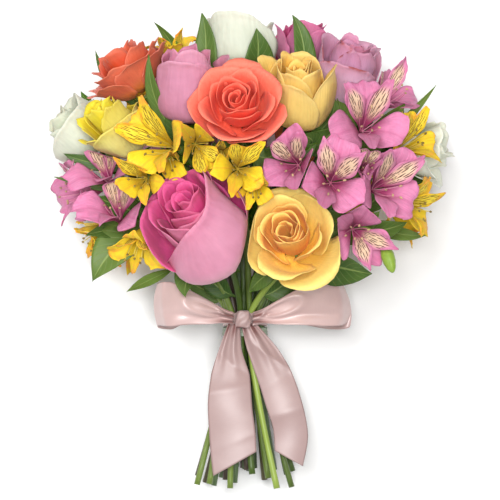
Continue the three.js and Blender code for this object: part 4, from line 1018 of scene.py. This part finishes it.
stems = lay_out_stems()
feet = [stem["lower"][0] for stem in stems]
front_stem = int(np.argmax([foot[2] - 0.5 * abs(foot[0] - BETWEEN_TAILS) for foot in feet]))
for i, stem in enumerate(stems):
    kind = stem["name"].split("_")[0]
    end, back = stem["end"], stem["back"]
    shaft, leaves = start_mesh(), start_mesh()
    chance = chances.random()
    lower = bezier(stem["lower"], np.linspace(0, 1, 26))
    upper = bezier(stem["upper"], np.linspace(0, 1, 30))[1:]
    # A last ring of no width closes each end flat
    line = np.vstack([lower[:1], lower, upper, upper[-1:]])
    line[0] -= 0.02 * unit(lower[1] - lower[0])
    line[-1] += 0.02 * unit(upper[-1] - upper[-2])
    radii = STEM_RADIUS[kind] * (1 + 0.05 * np.sin(np.linspace(0, 21, len(line)) + i))
    radii[0] = radii[-1] = 0
    tube(shaft, line, radii, 12, chance, 1.0)
    if kind == "rose":
        tube(shaft, end + np.outer(CUP[0], back), CUP[1], 12, chance)
        side = unit(np.cross(back, [0.31, 0.2, 0.93]))
        for k in range(5):
            turn = 2 * math.pi * k / 5 + chance
            out = side * math.cos(turn) + np.cross(back, side) * math.sin(turn)
            bend_grid(leaves, (4, 8), sepal(end, back, out), chance)
    for leaf in LEAVES.get(stem["name"], []) + [filler_leaf(stem) for _ in range(FILLERS)]:
        luck = chances.random()
        bend_grid(leaves, (8, 18), leaf_blade(stem, leaf, luck), luck)
    # The stem in front, between the tails of the ribbon, is the palest
    own_finish = stem_finishes[0 if i == front_stem else 1 + i % (len(STEM_COLOURS) - 1)]
    slot, node = PLANTS[kind] + "_stem", "stem_" + stem["name"]
    finish_piece(node + "_shaft", shaft, [own_finish], node)
    finish_piece(node + "_leaves", leaves, leaf_finishes[kind], node, LEAF)


# Ribbon and binding
# Grey-green tape holds the stems. A dusty pink satin ribbon goes round above it and is tied in front in
# a bow with two loops and two long tails, each cut off on a slant.

RIBBON = 0.45  # thickness
RIBBON_HALF = 17.5
KNOT = np.array([-1.5, 4.2, 25.9])
KNOT_HALF = [7.2, 7.4, 6]
LOOPS = {
    # which way it goes and how far, and how much its lower edge turns under and swings out at that end
    "left": (-1, 67.5, 0.25, 0),
    "right": (1, 81.5, 0.5, 3.5),
}
TAILS = {
    # middle of the ribbon and half the width that shows, how far the end runs down to the right, and the
    # folds that cross it: how far down, how much lower at its right edge, how deep
    "left": ([[-8.6, 0.5, 23.5, 4.6], [-11.7, -20, 24, 9], [-11.6, -40, 27.5, 15.2],
              [-11.9, -62, 30, 17.3], [-10, -86, 32, 17.8], [-8, -109, 34, 17]],
             -9.5, [(0.3, 0.1, -1.4), (0.5, -0.03, 2.0), (0.85, 0.0, 1.0)]),
    "right": ([[2.8, 0.5, 23.5, 6], [14, -20, 24, 12.4], [22.4, -38, 27, 14.5],
               [30.4, -62, 29, 14.6], [35.6, -84, 30, 13.8], [34.4, -105, 32, 11]],
              6, [(0.22, 0.16, 1.8), (0.45, -0.06, -1.4), (0.66, -0.04, 1.8)]),
}
# Height and inside radius of the lower and of the upper edge of the turn of ribbon, and of the binding
WRAP = ((-2.6, 16.8), (11.0, 18.8))
BINDING = ((-9.6, 17.1), (-3.0, 16.6))
BAND_WALL = 1.1  # room that either takes
WRAP_WALL, BINDING_WALL = 0.7, 0.9  # thickness


def smooth_line(points, t):
    """Points at shares t of a smooth line through all the given points."""
    points = np.asarray(points, float)
    ends = [2 * points[0] - points[1], 2 * points[-1] - points[-2]]
    points = np.vstack([ends[:1], points, ends[1:]])
    place = np.clip(t, 0, 1) * (len(points) - 3)
    first = np.minimum(place.astype(int), len(points) - 4)
    w = (place - first)[:, None]
    p0, p1, p2, p3 = (points[first + i] for i in range(4))
    gaps = [np.linalg.norm(q - p, axis=1)[:, None] ** 0.5 for p, q in ((p0, p1), (p1, p2), (p2, p3))]
    start = ((p1 - p0) / gaps[0] - (p2 - p0) / (gaps[0] + gaps[1]) + (p2 - p1) / gaps[1]) * gaps[1]
    finish = ((p2 - p1) / gaps[1] - (p3 - p1) / (gaps[1] + gaps[2]) + (p3 - p2) / gaps[2]) * gaps[1]
    square, cube = -3 * p1 + 3 * p2 - 2 * start - finish, 2 * p1 - 2 * p2 + start + finish
    return p1 + start * w + square * w**2 + cube * w**3


def bow_loop(side, far, under, swing):
    """One loop: out to the side along the front and back to the knot behind."""
    start = KNOT_HALF[0] + TOUCHING
    # How far out from the middle of the knot, up and in front
    run = [[start, KNOT[1] + 1, KNOT[2] + 1.5], [24, 9, 33], [48, 15, 36], [far - 6, 16, 28], [far, 14.5, 17],
           [far - 9, 13, 8], [50, 14, 7], [27, 9, 15], [start, KNOT[1] - 1, KNOT[2] - 1.5]]
    path = np.array(run) * [side, 1, 1] + [KNOT[0], 0, 0]

    def place(a, b):
        spread = np.minimum(ease(b, 0, 0.34), ease(1 - b, 0, 0.34))
        half = mix(4.4, RIBBON_HALF, spread)
        near = 1 - spread
        pleats = 2.6 * near**1.5 * np.cos(1.7 * math.pi * a + 0.7 * side) * np.where(b < 0.5, 1, -1)
        sag = 5.5 * near * spread * np.sin(2.8 * a + 0.6 - 0.9 * side)
        fold = 2.4 * bell(np.hypot((b - 0.15) / 0.09, (a - 0.25) / 0.55), 1, 0.24)
        wave = 1.8 * spread * np.sin(15 * b + 2 * a + 2 * side)
        wave = wave + 1.3 * bell(b, 0.375 + 0.015 * a, 0.022)
        wave = wave - 5.5 * bell(b, 0.09, 0.045) * bell(a, -0.1, 0.3)
        wave = wave - 1.6 * bell(b, 0.3, 0.09) * bell(a, -0.45, 0.16)
        tuck = under * bell(b, 0.45, 0.08)
        bow = side * bell(b, 0.48, 0.16) * (3 * (1 - a * a) - swing * a)
        height = half * ((a - 1) * np.cos(tuck) + 1)
        depth = half * (a - 1) * np.sin(tuck) * 0.8
        return smooth_line(path, b) + np.stack([bow, height, depth + pleats + sag + fold + wave], axis=1)

    return place


def bow_tail(line, slant, folds):
    """One tail: gathered at the knot, wider and flatter below it, and cut on a slant."""

    def place(a, b):
        path = smooth_line(np.array(line)[:, :3], b)
        half = smooth_line([[p[3], i, 0] for i, p in enumerate(line)], b)[:, 0]
        full = ease(b, 0.1, 0.45)
        wave = 0.9 * full * np.sin(12 * b + 0.06 * slant * a + 0.4) - 2.2 * full * a * a
        for at, lower, deep in folds:
            wave = wave + deep * np.exp(-np.sqrt(((b - at - lower * a) / 0.045) ** 2 + 0.1))
        pleats = 2.4 * np.cos(1.1 * math.pi * a + 0.09 * slant) + 0.5 * np.cos(3.4 * math.pi * a + slant)
        lift = wave + (1 - ease(b, 0.05, 0.5)) * pleats
        return path + np.stack([a * half, -a * slant * ease(b, 0.6, 1), lift], axis=1)

    return place


def satin_shade():
    """Satin: a fine weave across the ribbon and soft clouds on it, with painted shade in the folds near the
    start of each strip, where it is gathered.
    """
    inputs = {"Thread": "#CBAFAB", "Shade": "#AC8C89", "Fold shade": "#70403C", "Dullness": 0.31}
    given, place, across, along, *_ = shade_group("Satin shade", inputs)
    clouds = noise(place, 45.0, 2.0)
    weave = noise(stretched((across, 4.0), (along, 220.0)), 1.0, 1.0)
    edge = step(calc("ABSOLUTE", across), 0.93, 0.97)
    share = calc("MULTIPLY_ADD", edge, 0.3, varied(0.3, (clouds, 0.5)))
    shade = tint(share, given["Thread"], given["Shade"])
    # Painted shade: dark lines across the pleats near the start of each strip, where the ribbon is gathered
    # at the knot
    pleat_shade_lines = calc("SINE", calc("MULTIPLY_ADD", across, 6.0, times(along, 9.0)))
    painted_fold_shade = times(fade(along, 0.03, 0.14), calc("MULTIPLY_ADD", pleat_shade_lines, 0.45, 0.45))
    shade = tint(painted_fold_shade, shade, given["Fold shade"])
    shade = brightened(shade, varied(1.0, (weave, 0.06)))
    roughness = calc("MULTIPLY_ADD", clouds, 0.14, given["Dullness"])
    return close_group(shade, roughness, calc("MULTIPLY_ADD", weave, 0.1, clouds), 0.0005)


SATIN_SHADE = satin_shade()
satin_look = {"Sheen_Weight": 0.2, "Sheen_Roughness": 0.35, "Specular_IOR_Level": 0.8}
# Loops, knot and tails are one ribbon. The tails and the knot take a duller copy of its satin, painted darker
# because they lie flat in more light than the loops.
satin = finish_from(SATIN_SHADE, "satin ribbon", {}, **satin_look)
darker_tail_satin = finish_from(SATIN_SHADE, "satin ribbon tail painted darker",
                         {"Thread": "#A98F8C", "Shade": "#907572", "Dullness": 0.37},
                         **(satin_look | {"Specular_IOR_Level": 0.62}))
# The tape takes the same painted fold shade, at the lower edge of its band
tape = finish_from(SATIN_SHADE, "binding tape", {"Thread": "#8E9B84", "Shade": "#6E7A66", "Fold shade": "#5C6854"},
                   Specular_IOR_Level=0.3)


def wound_band(low, high, folds, pinch=0.0):
    """A band round the stems, from one height and inside radius to another. It may be narrower in front."""

    def place(a, b):
        turn = (a + 1) * math.pi
        radius = mix(low[1], high[1], b) + BAND_WALL / 2
        radius = radius + folds * np.sin(5 * math.pi * b + np.sin(turn)) * np.sin(math.pi * b)
        width = 1 - pinch * ((1 + np.cos(turn)) / 2) ** 2
        height = (low[0] + high[0]) / 2 + (high[0] - low[0]) * (b - 0.5) * width
        return np.stack([radius * np.sin(turn), height, radius * np.cos(turn)], axis=1)

    return place


def knot_place(a, b):
    """The knot: a turn of ribbon pulled tight over the roots of loops and tails, in upright folds."""
    turn = -(a + 1) * math.pi
    rise = 2 * b - 1
    size = 0.6 + 0.24 * np.sqrt(1 - 0.98 * rise**2) - 0.06 * rise
    size = np.where((b < 1e-6) | (b > 1 - 1e-6), 0.0, size)
    ridge = 1 + 0.07 * np.cos(5 * turn + 4 * rise) + 0.05 * np.sin(4 * rise + 2 * turn)

    def rounded(x):
        return np.sign(x) * np.abs(x) ** 0.75

    return np.stack([
        KNOT[0] + KNOT_HALF[0] * size * ridge * rounded(np.cos(turn)),
        KNOT[1] + KNOT_HALF[1] * (0.92 * np.clip(rise, -0.98, 0.98) + 0.05 * np.cos(3 * turn)),
        KNOT[2] + KNOT_HALF[2] * size * ridge * rounded(np.sin(turn)),
    ], axis=1)


def strip_piece(name, grid, place, finish, node, thickness):
    strip = start_mesh()
    bend_grid(strip, grid, place)
    return finish_piece(name, strip, [finish], node, thickness)


def satin_piece(part, grid, place, finish, thickness=RIBBON):
    node = "ribbon_" + part
    return strip_piece(node + "_satin", grid, place, finish, node, thickness)


loops = {side: satin_piece(f"loop_{side}", (24, 90), bow_loop(*shape), satin)
         for side, shape in LOOPS.items()}
tails = {side: satin_piece(f"tail_{side}", (24, 70), bow_tail(*shape), darker_tail_satin)
         for side, shape in TAILS.items()}
wrap = satin_piece("wrap", (64, 16), wound_band(*WRAP, folds=0.35, pinch=0.35), satin, WRAP_WALL)
strip_piece("binding_tape_band", (64, 16), wound_band(*BINDING, folds=0.1), tape, "binding",
            BINDING_WALL)
knot_piece = satin_piece("knot", (48, 28), knot_place, darker_tail_satin, 0)


# Surface, light and camera
# A plain pale surface, two soft square lights, one above and to the left and a stronger one above the
# stems, and the camera straight in front of the bouquet's face, so it looks down on it.

FLOOR_HALF = 6  # metres
VIEW_MIDDLE = np.array([[3.9, 58.5, 40.0]])  # of the picture, in the bouquet's frame
VIEW_WIDTH = 0.39  # metres across the picture at that depth
LENS, SENSOR = 180.0, 36.0
FAR_ENOUGH = 20  # metres that the camera sees
LIGHTS = {
    # place and width in metres, watts
    "key": ((-0.45, 0.15, 2.0), 0.7, 24),
    "front": ((0.1, -0.45, 2.3), 0.6, 38),
}
ALL_ROUND = 0.3  # strength of the light from all sides

floor_mesh = bmesh.new()
bmesh.ops.create_grid(floor_mesh, x_segments=1, y_segments=1, size=FLOOR_HALF)
floor_finish = bpy.data.materials.new("pale surface")
floor_finish.use_nodes = True
floor_shader = floor_finish.node_tree.nodes["Principled BSDF"]
floor_shader.inputs["Base Color"].default_value = colour("#FAFAFA")
floor_shader.inputs["Roughness"].default_value = 0.9
floor_shader.inputs["Specular IOR Level"].default_value = 0.1
mesh_object("surface", floor_mesh, [floor_finish])

target = lay_down(VIEW_MIDDLE)[0]
camera = new_object("camera", bpy.data.cameras.new("camera"))
camera.data.lens, camera.data.sensor_width = LENS, SENSOR
camera.data.clip_end = FAR_ENOUGH
camera.location = target + RAISED[:, 2] * VIEW_WIDTH * LENS / SENSOR
camera.rotation_euler = (TILT, 0, 0)
bpy.context.scene.camera = camera

for name, (place, size, watts) in LIGHTS.items():
    light = new_object(name, bpy.data.lights.new(name, "AREA"))
    light.data.size, light.data.energy = size, watts
    light.location = place
    light.rotation_euler = (Vector(place) - Vector(target)).to_track_quat("Z", "Y").to_euler()

world = bpy.data.worlds.new("studio")
world.use_nodes = True
world.node_tree.nodes["Background"].inputs["Color"].default_value = (1, 1, 1, 1)
world.node_tree.nodes["Background"].inputs["Strength"].default_value = ALL_ROUND
bpy.context.scene.world = world
bpy.context.scene.view_settings.view_transform = "Standard"
